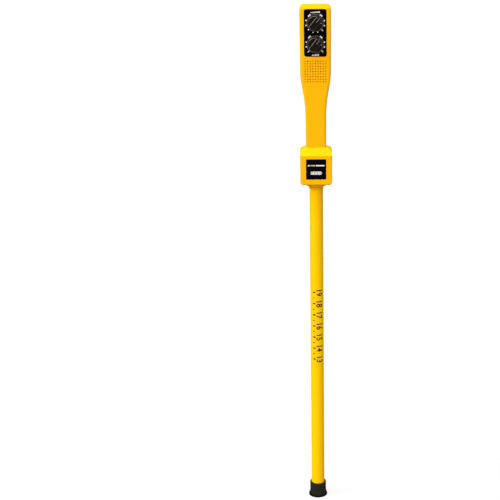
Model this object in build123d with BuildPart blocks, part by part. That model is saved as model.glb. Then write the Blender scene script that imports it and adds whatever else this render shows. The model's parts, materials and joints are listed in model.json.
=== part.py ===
from build123d import *
import os
from math import atan2, copysign, cos, degrees, radians, sin

os.makedirs("parts", exist_ok=True)

# The origin is the middle of the foot's sole, on the tube's axis. +Z runs up the tube, -Y is the front.

# Tube, foot and collar
tube_diameter = 28.0
tube_wall = 1.5
exposed_tube = 676.7
tube_in_grip = 50.0
foot_height = 32.0
foot_sole = 8.0
foot_wall = 3.5
foot_flare = 2.8
foot_base_height = 2.0
foot_flare_height = 14.0
foot_edge_radius = 0.8
foot_rim_radius = 1.0
tread_groove_width = 2.0
tread_groove_depth = 1.2
tread_groove_insets = (5.15, 10.15)
collar_height = 13.3
collar_lip = 1.0
collar_flare = 6.5
collar_neck = 5.8
sleeve_height = 14.0
sleeve_wall = 4.5

# Box
box_side_margin = 3.7
box_draft = 0.5
shoulder_rise = 15.0
shoulder_step = 13.0
box_top_corner = 11.0
box_rear_corner = 8.0
box_bottom_corner = 6.0
box_rear_fall = 9.5
box_rear_drop = 6.1
box_edge_radius = 3.0

# Grip and head
grip_side_room = 3.5
grip_depth_room = 1.0
grip_spread = 1.2
grip_length = 86.5
taper_length = 57.5
taper_lower_bend = 300.0
taper_upper_bend = 150.0
head_width = 62.2
head_spread = 1.2
head_depth = 44.0
head_length = 142.0
head_corner_round = 9.0
head_edge_radius = 5.0
top_slope_angle = 20.0

# Shells and what joins them
shell_wall = 3.0
gasket_inset = 0.9
gasket_width = 1.0
gasket_depth = 0.9
boss_diameter = 8.4
boss_bite = 0.3
screw_diameter = 2.9
screw_head_diameter = 5.4
screw_head_height = 2.2
screw_seat = 8.0
screw_reach = 5.5
screw_slack = 0.25
screw_drive_width = 2.5
screw_drive_depth = 1.4
insert_diameter = 4.6
insert_length = 6.0
thread_clearance = 0.05
upper_screw_drop = 15.0
middle_screw_rise = 13.0
lower_screw_drop = 23.0
grip_screw_rise = 15.0
box_screw_inset = 3.0
box_screw_gap = 0.15
rib_thickness = 3.0
rib_margin = 7.0
pin_rib_thickness = 7.0
pin_diameter = 3.0
pin_overhang = 4.0
pin_height = 37.0
fit_clearance = 0.05
seal_ring_section = 1.8

# Panel, grille and label
panel_side_margin = 8.65
panel_height = 94.4
panel_corner = 4.5
panel_thickness = 0.8
panel_recess = 1.0
panel_top_margin = 6.0
panel_clearance = 0.1
slope_margin = 1.0
grille_count = 9
grille_pitch = 5.2
grille_hole = 2.3
grille_gap = 9.0
label_width = 41.0
label_height = 42.2
label_thickness = 0.6
label_drop = 7.3
label_corner = 1.2

# Knobs and their rotary controls
knob_pitch = 42.7
knob_drop = 1.3
knob_skirt_diameter = 32.3
knob_skirt_top_diameter = 29.0
knob_rim_height = 1.5
knob_skirt_height = 6.0
knob_gap = 0.5
knob_height = 16.0
knob_bar_width = 15.0
knob_bar_draft = 4.0
knob_edge_radius = 1.0
knob_recess_room = 3.5
knob_bush_gap = 0.6
knob_stop_angle = 51.5
pointer_width = 1.6
pointer_depth = 0.6
pointer_start = 3.5
pointer_end_margin = 1.5
shaft_diameter = 6.0
shaft_clearance = 0.05
shaft_in_knob = 8.0
set_screw_diameter = 2.5
set_screw_height = 9.5
set_screw_sink = 1.1
bush_diameter = 8.9
bush_overrun = 1.0
bush_hole_clearance = 0.1
nut_across_flats = 12.0
nut_thickness = 2.4
washer_diameter = 14.0
washer_thickness = 0.6
control_diameter = 16.0
control_depth = 7.4
control_floor = 1.4
control_seal_thickness = 0.8

# Circuit board
board_side_gap = 1.0
board_height = 88.0
board_thickness = 1.6
board_corner = 2.0
board_screw_inset = 3.2
board_screw_margin = 12.0
board_post_diameter = 5.6
board_screw_diameter = 2.4
board_screw_head = 4.4
board_screw_head_height = 1.6
board_screw_reach = 5.5
board_hole_slack = 0.15
chip_height = 3.4
chip_sizes_and_places = ((18.0, 8.0, 0.0, 21.0), (10.0, 6.0, -7.0, -11.0), (8.0, 6.0, 8.0, -11.0))
capacitor_diameter = 6.3
capacitor_height = 7.5
capacitor_places = ((-11.0, 7.0), (11.0, 7.0), (0.0, 6.0))
connector_width = 6.0
connector_height = 5.0
connector_depth = 5.0
connector_gap = 1.2

# Sounder
sounder_diameter = 42.0
sounder_depth = 6.6
sounder_wall = 1.4
sounder_ledge = 2.0
sounder_disc_sink = 2.5
sounder_disc_thickness = 0.5
membrane_thickness = 0.4
sounder_ring_wall = 1.4
sounder_ring_height = 5.0
sounder_clearance = 0.2

# Batteries and their bay
battery_width = 26.5
battery_thickness = 17.5
battery_body_height = 46.5
battery_edge_radius = 1.8
battery_stud_height = 2.0
battery_stud_diameter = 7.4
battery_stud_spacing = 12.7
battery_gap = 0.6
battery_lift = 7.6
battery_headroom = 8.3
bay_clearance = 0.6
bay_floor_thickness = 2.4
bay_floor_gap = 1.0
bay_bottom_margin = 5.6
bay_top_margin = 5.6
snap_width = 20.0
snap_depth = 12.0
snap_height = 4.6
snap_shift = 0.4
stud_clearance = 0.3

# Battery cover
cover_land = 1.8
cover_thickness = 2.5
cover_corner = 3.0
cover_edge_radius = 0.7
cover_clearance = 0.3
cover_seal_thickness = 0.9
cover_seal_gap = 0.1
cover_pad_thickness = 1.7
cover_pad_gap = 0.3
cover_pad_inset = 12.0
cover_post_diameter = 7.2
cover_insert_diameter = 5.2
cover_insert_length = 8.0
cover_screw_diameter = 3.9
cover_screw_clearance = 0.1
cover_hole_clearance = 0.2
cover_screw_head_diameter = 9.0
cover_screw_head_height = 3.0
cover_screw_length = 10.0
coin_slot_width = 1.5
coin_slot_depth = 1.3

# Sensors in the tube
sensor_diameter = 16.0
sensor_length = 70.0
sensor_flange = 4.0
sensor_neck_diameter = 9.0
winding_diameter = 14.5
core_diameter = 5.0
carrier_diameter = 8.0
carrier_seat = 3.0
lower_sensor_rise = 40.0
sensor_spacing = 440.0
spacer_gap = 0.1
plug_length = 14.0
grommet_length = 8.0
grommet_flange = 2.0

# Leads
cable_diameter = 3.5
cable_x = -7.0
cable_y = 4.0
cable_bend = 120.0
lead_diameter = 2.6
lead_side_gap = 0.2
lead_set_back = 2.8
lead_boss_gap = 2.55
lead_hole_clearance = 0.7
lead_bend = 6.0
sounder_lead_diameter = 1.8
sounder_lead_x = 4.0
sounder_lead_rise = 8.0
sounder_lead_bend = 3.5
link_lead_diameter = 1.6
link_lead_x = 6.0
lead_turn_rise = 10.0
lead_turn_drop = 5.0

# Widths and lengths worked out from the sizes above
tube_radius = tube_diameter / 2
tube_bore_radius = tube_radius - tube_wall
socket_radius = tube_radius + fit_clearance
grip_width = tube_diameter + 2 * (shell_wall + grip_side_room)
grip_top_width = grip_width + grip_spread
grip_depth = tube_diameter + 2 * (shell_wall + grip_depth_room)
head_top_width = head_width + head_spread
panel_width = head_width - 2 * panel_side_margin
battery_x = (battery_width + battery_gap) / 2
bay_half_width = battery_width + battery_gap / 2 + bay_clearance
bay_height = battery_lift + battery_body_height + battery_headroom
cover_width = 2 * (bay_half_width + cover_land)
cover_height = bay_height + 2 * cover_land
box_width = cover_width + 2 * box_side_margin
box_rear_height = bay_bottom_margin + bay_height + bay_top_margin
box_height = box_rear_height + box_rear_fall - box_rear_drop
board_width = head_width - 2 * (shell_wall + boss_diameter - boss_bite + board_side_gap)
lead_x = tube_radius + lead_side_gap
lead_y = tube_radius - lead_set_back

# Heights worked out from the sizes above
collar_bottom = foot_height + exposed_tube
box_bottom = collar_bottom + collar_height
box_top = box_bottom + box_height
box_crease = box_top - shoulder_rise
tube_top = box_top + tube_in_grip
taper_bottom = box_top + grip_length
taper_top = taper_bottom + taper_length
head_top = taper_top + head_length
panel_top = head_top - panel_top_margin
panel_bottom = panel_top - panel_height
panel_middle = (panel_top + panel_bottom) / 2
grille_middle = panel_bottom - grille_gap - grille_pitch * (grille_count - 1) / 2
knob_middle = panel_middle - knob_drop
knob_heights = {"volume": knob_middle + knob_pitch / 2, "gain": knob_middle - knob_pitch / 2}
label_middle = box_crease - label_drop - label_height / 2
pin_level = box_bottom + pin_height
board_bottom = knob_middle - board_height / 2
sensor_bottoms = {"lower": lower_sensor_rise, "upper": lower_sensor_rise + sensor_spacing}
bay_bottom = box_bottom - box_rear_drop + bay_bottom_margin
bay_top = bay_bottom + bay_height
bay_middle = (bay_bottom + bay_top) / 2
battery_bottom = bay_bottom + battery_lift
battery_top = battery_bottom + battery_body_height
snap_bottom = battery_top + battery_stud_height / 4
snap_middle = snap_bottom + snap_height / 2
cover_post_radius = cover_post_diameter / 2
cover_screw_heights = {"upper": bay_top - cover_post_radius, "lower": bay_bottom + cover_post_radius}

# Depths worked out from the sizes above
grip_front = -grip_depth / 2
grip_rear = grip_depth / 2
head_rear = grip_front + head_depth
wall_inside = grip_front + shell_wall
panel_floor = grip_front + panel_recess
panel_face = panel_floor - panel_thickness
control_face = wall_inside + control_seal_thickness
board_front = control_face + control_depth
board_rear = board_front + board_thickness
sounder_front = wall_inside + membrane_thickness
sounder_rear = sounder_front + sounder_depth
bay_floor_front = tube_radius + bay_floor_gap
bay_floor = bay_floor_front + bay_floor_thickness
battery_front = bay_floor + 2 * fit_clearance
battery_rear = battery_front + battery_thickness
battery_axis = (battery_front + battery_rear) / 2
cover_inside = battery_rear + cover_pad_gap + cover_pad_thickness
cover_ledge = cover_inside - cover_seal_thickness - cover_seal_gap
box_front = grip_front - shoulder_step
box_rear = cover_inside + cover_thickness
lead_end_y = board_rear + connector_depth / 2


def keep(piece, node):
    """Label a finished piece and write it."""
    piece.part.label = node
    export_step(piece.part, f"parts/{node}.step")


def half_width(height):
    """Half the outside width of the grip, taper or head at a height above the box."""
    if height >= taper_top:
        share = (height - taper_top) / head_length
        return (head_width + share * (head_top_width - head_width)) / 2
    share = max(0, (height - taper_bottom) / taper_length)
    return (grip_top_width + share * (head_width - grip_top_width)) / 2


def both_sides(x, height):
    """Two places, left and right, at one height."""
    return [(-x, height), (x, height)]


# Places of the screws that hold the two shells together, as X and Z
boss_radius = boss_diameter / 2
head_screw_heights = (
    panel_top - upper_screw_drop,
    panel_bottom + middle_screw_rise,
    grille_middle - lower_screw_drop,
)
shell_screw_places = [(0, tube_top + grip_screw_rise)]
for height in head_screw_heights:
    shell_screw_places += both_sides(half_width(height) - shell_wall - boss_radius + boss_bite, height)
box_screw_x = bay_half_width - box_screw_inset
box_screw_places = both_sides(box_screw_x, battery_bottom - screw_head_diameter / 2 - box_screw_gap)
box_screw_places += both_sides(box_screw_x, bay_top - box_screw_inset)
screw_places = shell_screw_places + box_screw_places
screw_hole_radius = screw_diameter / 2 + screw_slack

# Places of the connectors: the battery leads pass inside the lowest bosses of the head
lowest_boss_side = half_width(head_screw_heights[-1]) - shell_wall - boss_diameter + boss_bite
lead_board_x = lowest_boss_side - lead_diameter / 2 - lead_boss_gap
cable_board_x = connector_width + connector_gap - lead_board_x

# Places of the board's screws
board_screw_x = board_width / 2 - board_screw_inset
board_screw_places = both_sides(board_screw_x, board_bottom + board_screw_margin)
board_screw_places += both_sides(board_screw_x, board_bottom + board_height - board_screw_inset)
control_places = [(0, height) for height in knob_heights.values()]
cover_screw_places = [(0, height) for height in cover_screw_heights.values()]


def facing_front(depth):
    """A sketch plane square to Y at a depth: local x is X, local y is Z, and it faces the front."""
    return Plane(origin=(0, depth, 0), x_dir=(1, 0, 0), z_dir=(0, -1, 0))


def mirrored_outline(right_side):
    """A closed line through points on the right and their mirror images on the left."""
    left_side = [(-x, z) for x, z in reversed(right_side)]
    return Polyline(*right_side, *left_side, close=True)


def bars(places, radius, rear, front, mode=Mode.ADD):
    """Round bars along Y from a rear depth to a front depth, at places given as X and Z."""
    with BuildSketch(facing_front(rear)) as ends:
        with Locations(*places):
            Circle(radius)
    extrude(ends.sketch, amount=rear - front, mode=mode)


def plate(width, height, corner, middle, rear, front, mode=Mode.ADD):
    """A plate square to Y with rounded corners, centred on X, at the height of its middle."""
    with BuildSketch(facing_front(rear)) as face:
        with Locations((0, middle)):
            RectangleRounded(width, height, corner)
    extrude(face.sketch, amount=rear - front, mode=mode)


def upright(radius, bottom, top, mode=Mode.ADD):
    """A round post on the tube's axis between two heights."""
    with BuildSketch(Plane.XY.offset(bottom)) as end:
        Circle(radius)
    extrude(end.sketch, amount=top - bottom, mode=mode)


def lead(points, diameter, bend):
    """A round lead along straight runs joined by arcs, starting square to its first run."""
    with BuildPart() as tube:
        with BuildLine() as route:
            FilletPolyline(*points, radius=bend)
        with BuildSketch(Plane(origin=points[0], z_dir=route.line % 0)) as section:
            Circle(diameter / 2)
        sweep()
    expected = section.sketch.area * route.wire().length
    print(f"Lead {diameter} mm, bends {bend} mm: volume {tube.part.volume:.2f}, expected {expected:.2f}")
    return tube.part


# Grip and head as one solid, drawn in by an inset: none for the outside, the wall for the hollow
def grip_and_head(inset):
    root = box_crease
    overshoot = head_corner_round
    with BuildPart() as body:
        with BuildSketch(Plane.XZ) as front_view:
            with BuildLine():
                mirrored_outline(
                    [
                        (grip_width / 2, root),
                        (grip_top_width / 2, taper_bottom),
                        (head_width / 2, taper_top),
                        (head_top_width / 2, head_top),
                    ]
                )
            make_face()
            fillet(front_view.vertices().group_by(Axis.Y)[3], head_corner_round)
            fillet(front_view.vertices().group_by(Axis.Y)[2], taper_upper_bend)
            fillet(front_view.vertices().group_by(Axis.Y)[1], taper_lower_bend)
            if inset:
                offset(amount=-inset, kind=Kind.INTERSECTION)
        extrude(amount=head_depth, both=True)
        with BuildSketch(Plane.YZ) as side_view:
            with BuildLine():
                Polyline(
                    (grip_front, root - shell_wall),
                    (grip_front, head_top + overshoot),
                    (head_rear, head_top + overshoot),
                    (head_rear, taper_top),
                    (grip_rear, taper_bottom),
                    (grip_rear, root - shell_wall),
                    close=True,
                )
            make_face()
            fillet(side_view.vertices().sort_by_distance((head_rear, taper_top))[0], taper_upper_bend)
            fillet(side_view.vertices().sort_by_distance((grip_rear, taper_bottom))[0], taper_lower_bend)
            if inset:
                offset(amount=-inset, kind=Kind.INTERSECTION)
        extrude(amount=head_width, both=True, mode=Mode.INTERSECT)
        if not inset:
            front_rim = body.faces().sort_by(Axis.Y)[0].edges().sort_by(Axis.Z)[1:]
            fillet(front_rim, head_edge_radius)
            rear_rim = body.edges().filter_by(lambda edge: edge.center().Y > grip_rear - head_edge_radius)
            across = rear_rim.filter_by(Axis.X)
            fillet(rear_rim - across + across.sort_by(Axis.Z)[-1:], head_edge_radius)
        slope = Plane(origin=(0, grip_front, panel_top + slope_margin)).rotated((top_slope_angle, 0, 0))
        split(bisect_by=slope.offset(-inset), keep=Keep.BOTTOM)
    return body.part


# Outline of the box at a depth: behind the parting plane its top and underside fall to the rear
def box_outline(inset, depth):
    share = max(0, depth) / box_rear
    corners = []
    for height in (box_bottom - share * box_rear_drop, box_top - share * box_rear_fall):
        corners.append((box_width / 2 - box_draft * (box_top - height) / box_height, height))
    with BuildSketch(facing_front(depth)) as outline:
        with BuildLine():
            mirrored_outline(corners)
        make_face()
        top_corner = box_top_corner + share * (box_rear_corner - box_top_corner)
        fillet(outline.vertices().group_by(Axis.Y)[-1], top_corner)
        fillet(outline.vertices().group_by(Axis.Y)[0], box_bottom_corner)
        if inset:
            offset(amount=-inset, kind=Kind.INTERSECTION)
    return outline.sketch


# Box as one solid, drawn in the same way, with its rear face at a given depth
def box_block(inset, rear):
    with BuildPart() as body:
        extrude(box_outline(inset, 0), amount=-box_front - inset)
        loft([box_outline(inset, 0), box_outline(inset, rear)], ruled=True)
        if not inset:
            fillet(body.faces().sort_by(Axis.Y)[0].edges(), box_edge_radius)
            fillet(body.faces().sort_by(Axis.Y)[-1].edges(), box_edge_radius)
        lean = degrees(atan2(shoulder_rise, shoulder_step))
        shoulder = Plane(origin=(0, box_front, box_crease)).rotated((lean, 0, 0))
        split(bisect_by=shoulder.offset(-inset), keep=Keep.BOTTOM)
    return body.part


# The gasket's run in the wall at the parting plane: a strip between two insets, open where the tube is
def gasket_run(outer_inset, inner_inset, depth):
    with BuildPart() as strip:
        add(box_block(outer_inset, box_rear - outer_inset))
        add(grip_and_head(outer_inset))
        add(box_block(inner_inset, box_rear - inner_inset), mode=Mode.SUBTRACT)
        add(grip_and_head(inner_inset), mode=Mode.SUBTRACT)
        with BuildSketch(facing_front(depth)):
            with Locations((0, (box_bottom + head_top) / 2)):
                Rectangle(2 * box_width, 2 * (head_top - box_bottom))
        extrude(amount=depth, mode=Mode.INTERSECT)
        upright(socket_radius + gasket_width, collar_bottom, box_crease, mode=Mode.SUBTRACT)
    return strip.part


# Outside of the whole housing
with BuildPart() as outside:
    add(box_block(0, box_rear))
    add(grip_and_head(0))
    with BuildSketch(Plane.XZ):
        with BuildLine():
            lip_radius = socket_radius + collar_lip
            root_radius = lip_radius + collar_flare
            collar_root = box_bottom + box_edge_radius
            Polyline((0, collar_root), (0, collar_bottom), (lip_radius, collar_bottom))
            flare_top = box_bottom - collar_neck
            rise = Line((lip_radius, collar_bottom), (lip_radius, flare_top - collar_flare))
            flare = TangentArc(rise @ 1, (root_radius, flare_top), tangent=rise % 1)
            Polyline(flare @ 1, (root_radius, collar_root), (0, collar_root))
        make_face()
    revolve(axis=Axis.Z)

# Hollow inside the two shells, with the ribs, bosses, posts and rings left standing
with BuildPart() as hollow:
    add(grip_and_head(shell_wall))
    add(box_block(shell_wall, bay_floor_front))
    bars(screw_places, boss_radius, head_rear, box_front, mode=Mode.SUBTRACT)
    bars(board_screw_places, board_post_diameter / 2, board_front, wall_inside, mode=Mode.SUBTRACT)
    with BuildSketch(facing_front(wall_inside + sounder_ring_height)) as sounder_ring:
        with Locations((0, grille_middle)):
            Circle(sounder_diameter / 2 + sounder_clearance + sounder_ring_wall)
            Circle(sounder_diameter / 2 + sounder_clearance, mode=Mode.SUBTRACT)
    extrude(amount=sounder_ring_height, mode=Mode.SUBTRACT)
    for level, thickness in (
        (pin_level, pin_rib_thickness),
        (box_top + rib_margin, rib_thickness),
        (tube_top - rib_margin, rib_thickness),
    ):
        with BuildSketch(Plane.XY.offset(level - thickness / 2)):
            Rectangle(2 * box_width, 2 * (box_rear - box_front))
            Circle(socket_radius, mode=Mode.SUBTRACT)
            if level > box_top:
                with Locations((-lead_x, lead_y), (lead_x, lead_y)):
                    Circle(lead_diameter / 2 + lead_hole_clearance, mode=Mode.SUBTRACT)
        extrude(amount=thickness, mode=Mode.SUBTRACT)
    upright(socket_radius + sleeve_wall, box_bottom, box_bottom + sleeve_height, mode=Mode.SUBTRACT)

# Both shells in one, bored for the tube, its seal ring and its pin
seal_ring_level = box_bottom + sleeve_height / 2
pin_half_length = tube_radius + pin_overhang
with BuildPart() as housing:
    add(outside.part)
    add(hollow.part, mode=Mode.SUBTRACT)
    upright(socket_radius, collar_bottom, box_bottom + sleeve_height, mode=Mode.SUBTRACT)
    seal_half_height = seal_ring_section / 2 + fit_clearance
    upright(
        socket_radius + seal_ring_section + fit_clearance,
        seal_ring_level - seal_half_height,
        seal_ring_level + seal_half_height,
        mode=Mode.SUBTRACT,
    )
    with BuildSketch(Plane.YZ) as pin_hole:
        with Locations((0, pin_level)):
            Circle(pin_diameter / 2 + fit_clearance)
    extrude(amount=pin_half_length + fit_clearance, both=True, mode=Mode.SUBTRACT)

with BuildPart() as front_shell:
    add(housing.part)
    split(bisect_by=facing_front(0), keep=Keep.TOP)
    plate(
        panel_width + 2 * panel_clearance,
        panel_height + 2 * panel_clearance,
        panel_corner + panel_clearance,
        panel_middle,
        panel_floor,
        box_front,
        mode=Mode.SUBTRACT,
    )
    plate(
        label_width + 2 * panel_clearance,
        label_height + 2 * panel_clearance,
        label_corner + panel_clearance,
        label_middle,
        box_front + label_thickness,
        box_front - label_thickness,
        mode=Mode.SUBTRACT,
    )
    with BuildSketch(facing_front(wall_inside)) as grille:
        with Locations((0, grille_middle)):
            with GridLocations(grille_pitch, grille_pitch, grille_count, grille_count):
                Circle(grille_hole / 2)
    extrude(amount=2 * shell_wall, mode=Mode.SUBTRACT)
    bars(control_places, bush_diameter / 2 + bush_hole_clearance, wall_inside, grip_front, mode=Mode.SUBTRACT)
    bars(screw_places, insert_diameter / 2 + fit_clearance, 0, -insert_length, mode=Mode.SUBTRACT)
    board_pilot_radius = board_screw_diameter / 2 + thread_clearance
    board_pilot_end = board_front - board_screw_reach - fit_clearance
    bars(board_screw_places, board_pilot_radius, board_front, board_pilot_end, mode=Mode.SUBTRACT)
keep(front_shell, "front_shell")

with BuildPart() as rear_shell:
    add(housing.part)
    split(bisect_by=facing_front(0), keep=Keep.BOTTOM)
    add(
        gasket_run(
            gasket_inset,
            gasket_inset + gasket_width + 2 * fit_clearance,
            gasket_depth + fit_clearance,
        ),
        mode=Mode.SUBTRACT,
    )
    # The bay for the batteries, open to the rear, with a post for each cover screw
    with BuildSketch(facing_front(cover_ledge)) as bay:
        with Locations((0, bay_middle)):
            Rectangle(2 * bay_half_width, bay_height)
        with Locations(*cover_screw_places):
            Circle(cover_post_radius, mode=Mode.SUBTRACT)
        with Locations((0, bay_top), (0, bay_bottom)):
            Rectangle(cover_post_diameter, cover_post_diameter, mode=Mode.SUBTRACT)
    extrude(amount=cover_ledge - bay_floor, mode=Mode.SUBTRACT)
    plate(
        cover_width + 2 * cover_clearance,
        cover_height + 2 * cover_clearance,
        cover_corner + cover_clearance,
        bay_middle,
        box_rear,
        cover_ledge,
        mode=Mode.SUBTRACT,
    )
    bars(
        cover_screw_places,
        cover_insert_diameter / 2 + fit_clearance,
        cover_ledge,
        cover_ledge - cover_insert_length,
        mode=Mode.SUBTRACT,
    )
    bars(screw_places, screw_hole_radius, bay_floor, 0, mode=Mode.SUBTRACT)
    bars(shell_screw_places, screw_head_diameter / 2 + screw_slack, head_rear, screw_seat, mode=Mode.SUBTRACT)
    lead_hole_radius = lead_diameter / 2 + lead_hole_clearance
    bars(both_sides(lead_x, snap_middle), lead_hole_radius, bay_floor, lead_y, mode=Mode.SUBTRACT)
keep(rear_shell, "rear_shell")

with BuildPart() as shell_gasket:
    add(
        gasket_run(
            gasket_inset + fit_clearance,
            gasket_inset + fit_clearance + gasket_width,
            gasket_depth,
        )
    )
keep(shell_gasket, "shell_gasket")


# Cylinder-head screws pointing to the front, with a square drive socket
def screws(places, seat, tip):
    with BuildPart() as group:
        bars(places, screw_diameter / 2, seat, tip)
        bars(places, screw_head_diameter / 2, seat + screw_head_height, seat)
        with BuildSketch(facing_front(seat + screw_head_height)):
            with Locations(*places):
                Rectangle(screw_drive_width, screw_drive_width)
        extrude(amount=screw_drive_depth, mode=Mode.SUBTRACT)
    return group


keep(screws(shell_screw_places, screw_seat, -screw_reach), "shell_screws")
keep(screws(box_screw_places, bay_floor, -screw_reach), "box_screws")

with BuildPart() as shell_inserts:
    bars(screw_places, insert_diameter / 2, 0, -insert_length)
    bars(screw_places, screw_diameter / 2 + thread_clearance, 0, -insert_length, mode=Mode.SUBTRACT)
keep(shell_inserts, "shell_inserts")

with BuildPart() as control_panel:
    plate(panel_width, panel_height, panel_corner, panel_middle, panel_floor, panel_face)
    bars(control_places, bush_diameter / 2 + bush_hole_clearance, panel_floor, panel_face, mode=Mode.SUBTRACT)
keep(control_panel, "control_panel")

with BuildPart() as name_plate:
    plate(label_width, label_height, label_corner, label_middle, box_front + label_thickness, box_front)
keep(name_plate, "name_plate")

# Knobs and rotary controls, on planes that face the front with x along the pointer
shaft_radius = shaft_diameter / 2
bush_above_panel = washer_thickness + nut_thickness + bush_overrun
shaft_tip = bush_above_panel + shaft_in_knob
knob_recess_radius = washer_diameter / 2 + knob_recess_room
knob_recess_depth = bush_above_panel - knob_gap + knob_bush_gap
pointer_end = knob_skirt_top_diameter / 2 - pointer_end_margin
set_screw_length = knob_bar_width / 2 - shaft_radius - set_screw_sink
control_front = control_face - panel_face
for name, height in knob_heights.items():
    turn = radians(knob_stop_angle)
    face = Plane(origin=(0, panel_face, height), x_dir=(cos(turn), 0, sin(turn)), z_dir=(0, -1, 0))

    with BuildPart() as knob:
        with BuildSketch(face.offset(knob_gap)):
            Circle(knob_skirt_diameter / 2)
        extrude(amount=knob_rim_height)
        with BuildSketch(face.offset(knob_gap + knob_rim_height)):
            Circle(knob_skirt_diameter / 2)
        with BuildSketch(face.offset(knob_gap + knob_skirt_height)):
            Circle(knob_skirt_top_diameter / 2)
        loft()
        with BuildSketch(face.offset(knob_gap + knob_rim_height)):
            Circle(knob_skirt_top_diameter / 2)
            Rectangle(knob_skirt_diameter, knob_bar_width, mode=Mode.INTERSECT)
        extrude(amount=knob_height - knob_gap - knob_rim_height, taper=knob_bar_draft)
        fillet(knob.faces().sort_by(Axis.Y)[0].edges(), knob_edge_radius)
        with BuildSketch(face.offset(knob_gap)):
            Circle(knob_recess_radius)
        extrude(amount=knob_recess_depth, mode=Mode.SUBTRACT)
        with BuildSketch(face.offset(knob_gap)):
            Circle(shaft_radius + shaft_clearance)
        extrude(amount=shaft_tip + fit_clearance - knob_gap, mode=Mode.SUBTRACT)
        with BuildSketch(face.offset(knob_height - pointer_depth - fit_clearance)):
            with Locations(((pointer_start + pointer_end) / 2, 0)):
                Rectangle(pointer_end - pointer_start, pointer_width)
        extrude(amount=2 * pointer_depth, mode=Mode.SUBTRACT)
        flank = Plane(origin=face.from_local_coords(Vector(0, 0, set_screw_height)), z_dir=-face.y_dir)
        with BuildSketch(flank):
            Circle(set_screw_diameter / 2 + thread_clearance)
        extrude(amount=knob_bar_width, mode=Mode.SUBTRACT)
    keep(knob, f"{name}_knob")

    with BuildPart() as pointer:
        with BuildSketch(face.offset(knob_height - pointer_depth)):
            with Locations(((pointer_start + pointer_end) / 2, 0)):
                Rectangle(pointer_end - pointer_start - 2 * fit_clearance, pointer_width - 2 * fit_clearance)
        extrude(amount=pointer_depth)
    keep(pointer, f"{name}_pointer")

    with BuildPart() as set_screw:
        with BuildSketch(flank.offset(shaft_radius + fit_clearance)):
            Circle(set_screw_diameter / 2)
        extrude(amount=set_screw_length)
    keep(set_screw, f"{name}_set_screw")

    with BuildPart() as shaft:
        with BuildSketch(face.offset(shaft_tip)):
            Circle(shaft_radius)
        extrude(amount=-(shaft_tip - control_front + control_depth - control_floor - fit_clearance))
    keep(shaft, f"{name}_shaft")

    with BuildPart() as control:
        bars([(0, height)], control_diameter / 2, board_front, control_face)
        bars([(0, height)], bush_diameter / 2, control_face, panel_face - bush_above_panel)
        bars(
            [(0, height)],
            shaft_radius + shaft_clearance,
            board_front - control_floor,
            panel_face - bush_above_panel,
            mode=Mode.SUBTRACT,
        )
    keep(control, f"{name}_control")

bush_fit_radius = bush_diameter / 2 + thread_clearance
with BuildPart() as control_washers:
    bars(control_places, washer_diameter / 2, panel_face, panel_face - washer_thickness)
    bars(control_places, bush_fit_radius, panel_face, panel_face - washer_thickness, mode=Mode.SUBTRACT)
keep(control_washers, "control_washers")

with BuildPart() as control_nuts:
    with BuildSketch(facing_front(panel_face - washer_thickness)):
        with Locations(*control_places):
            RegularPolygon(nut_across_flats / 2, 6, major_radius=False)
            Circle(bush_fit_radius, mode=Mode.SUBTRACT)
    extrude(amount=nut_thickness)
keep(control_nuts, "control_nuts")

with BuildPart() as control_seals:
    bars(control_places, washer_diameter / 2, control_face, wall_inside)
    bars(control_places, bush_fit_radius, control_face, wall_inside, mode=Mode.SUBTRACT)
keep(control_seals, "control_seals")

with BuildPart() as circuit_board:
    plate(board_width, board_height, board_corner, knob_middle, board_rear, board_front)
    board_hole_radius = board_screw_diameter / 2 + board_hole_slack
    bars(board_screw_places, board_hole_radius, board_rear, board_front, mode=Mode.SUBTRACT)
keep(circuit_board, "circuit_board")

with BuildPart() as board_screws:
    bars(board_screw_places, board_screw_diameter / 2, board_rear, board_front - board_screw_reach)
    bars(board_screw_places, board_screw_head / 2, board_rear + board_screw_head_height, board_rear)
keep(board_screws, "board_screws")

with BuildPart() as board_chips:
    with BuildSketch(facing_front(board_rear + chip_height)):
        for width, length, x, rise in chip_sizes_and_places:
            with Locations((x, knob_middle + rise)):
                Rectangle(width, length)
    extrude(amount=chip_height)
keep(board_chips, "board_chips")

with BuildPart() as board_capacitors:
    capacitor_centres = [(x, knob_middle + rise) for x, rise in capacitor_places]
    bars(capacitor_centres, capacitor_diameter / 2, board_rear + capacitor_height, board_rear)
keep(board_capacitors, "board_capacitors")

with BuildPart() as board_connectors:
    with BuildSketch(facing_front(board_rear + connector_depth)):
        for x in (-lead_board_x, cable_board_x, sounder_lead_x, lead_board_x):
            with Locations((x, board_bottom + connector_height / 2)):
                Rectangle(connector_width, connector_height)
    extrude(amount=connector_depth)
keep(board_connectors, "board_connectors")

# Sounder behind the grille, with a membrane in front of it
sounder_place = [(0, grille_middle)]
sounder_inner_radius = sounder_diameter / 2 - sounder_wall
sounder_disc_rear = sounder_front + sounder_disc_sink + sounder_disc_thickness
with BuildPart() as sounder_case:
    bars(sounder_place, sounder_diameter / 2, sounder_rear, sounder_front)
    bars(sounder_place, sounder_inner_radius, sounder_disc_rear, sounder_front, mode=Mode.SUBTRACT)
    bars(
        sounder_place,
        sounder_inner_radius - sounder_ledge,
        sounder_rear - sounder_wall,
        sounder_front,
        mode=Mode.SUBTRACT,
    )
keep(sounder_case, "sounder_case")

with BuildPart() as sounder_disc:
    sounder_disc_front = sounder_disc_rear - sounder_disc_thickness
    bars(sounder_place, sounder_inner_radius - sounder_clearance, sounder_disc_rear, sounder_disc_front)
keep(sounder_disc, "sounder_disc")

with BuildPart() as grille_membrane:
    bars(sounder_place, sounder_diameter / 2, sounder_front, wall_inside)
keep(grille_membrane, "grille_membrane")

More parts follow.
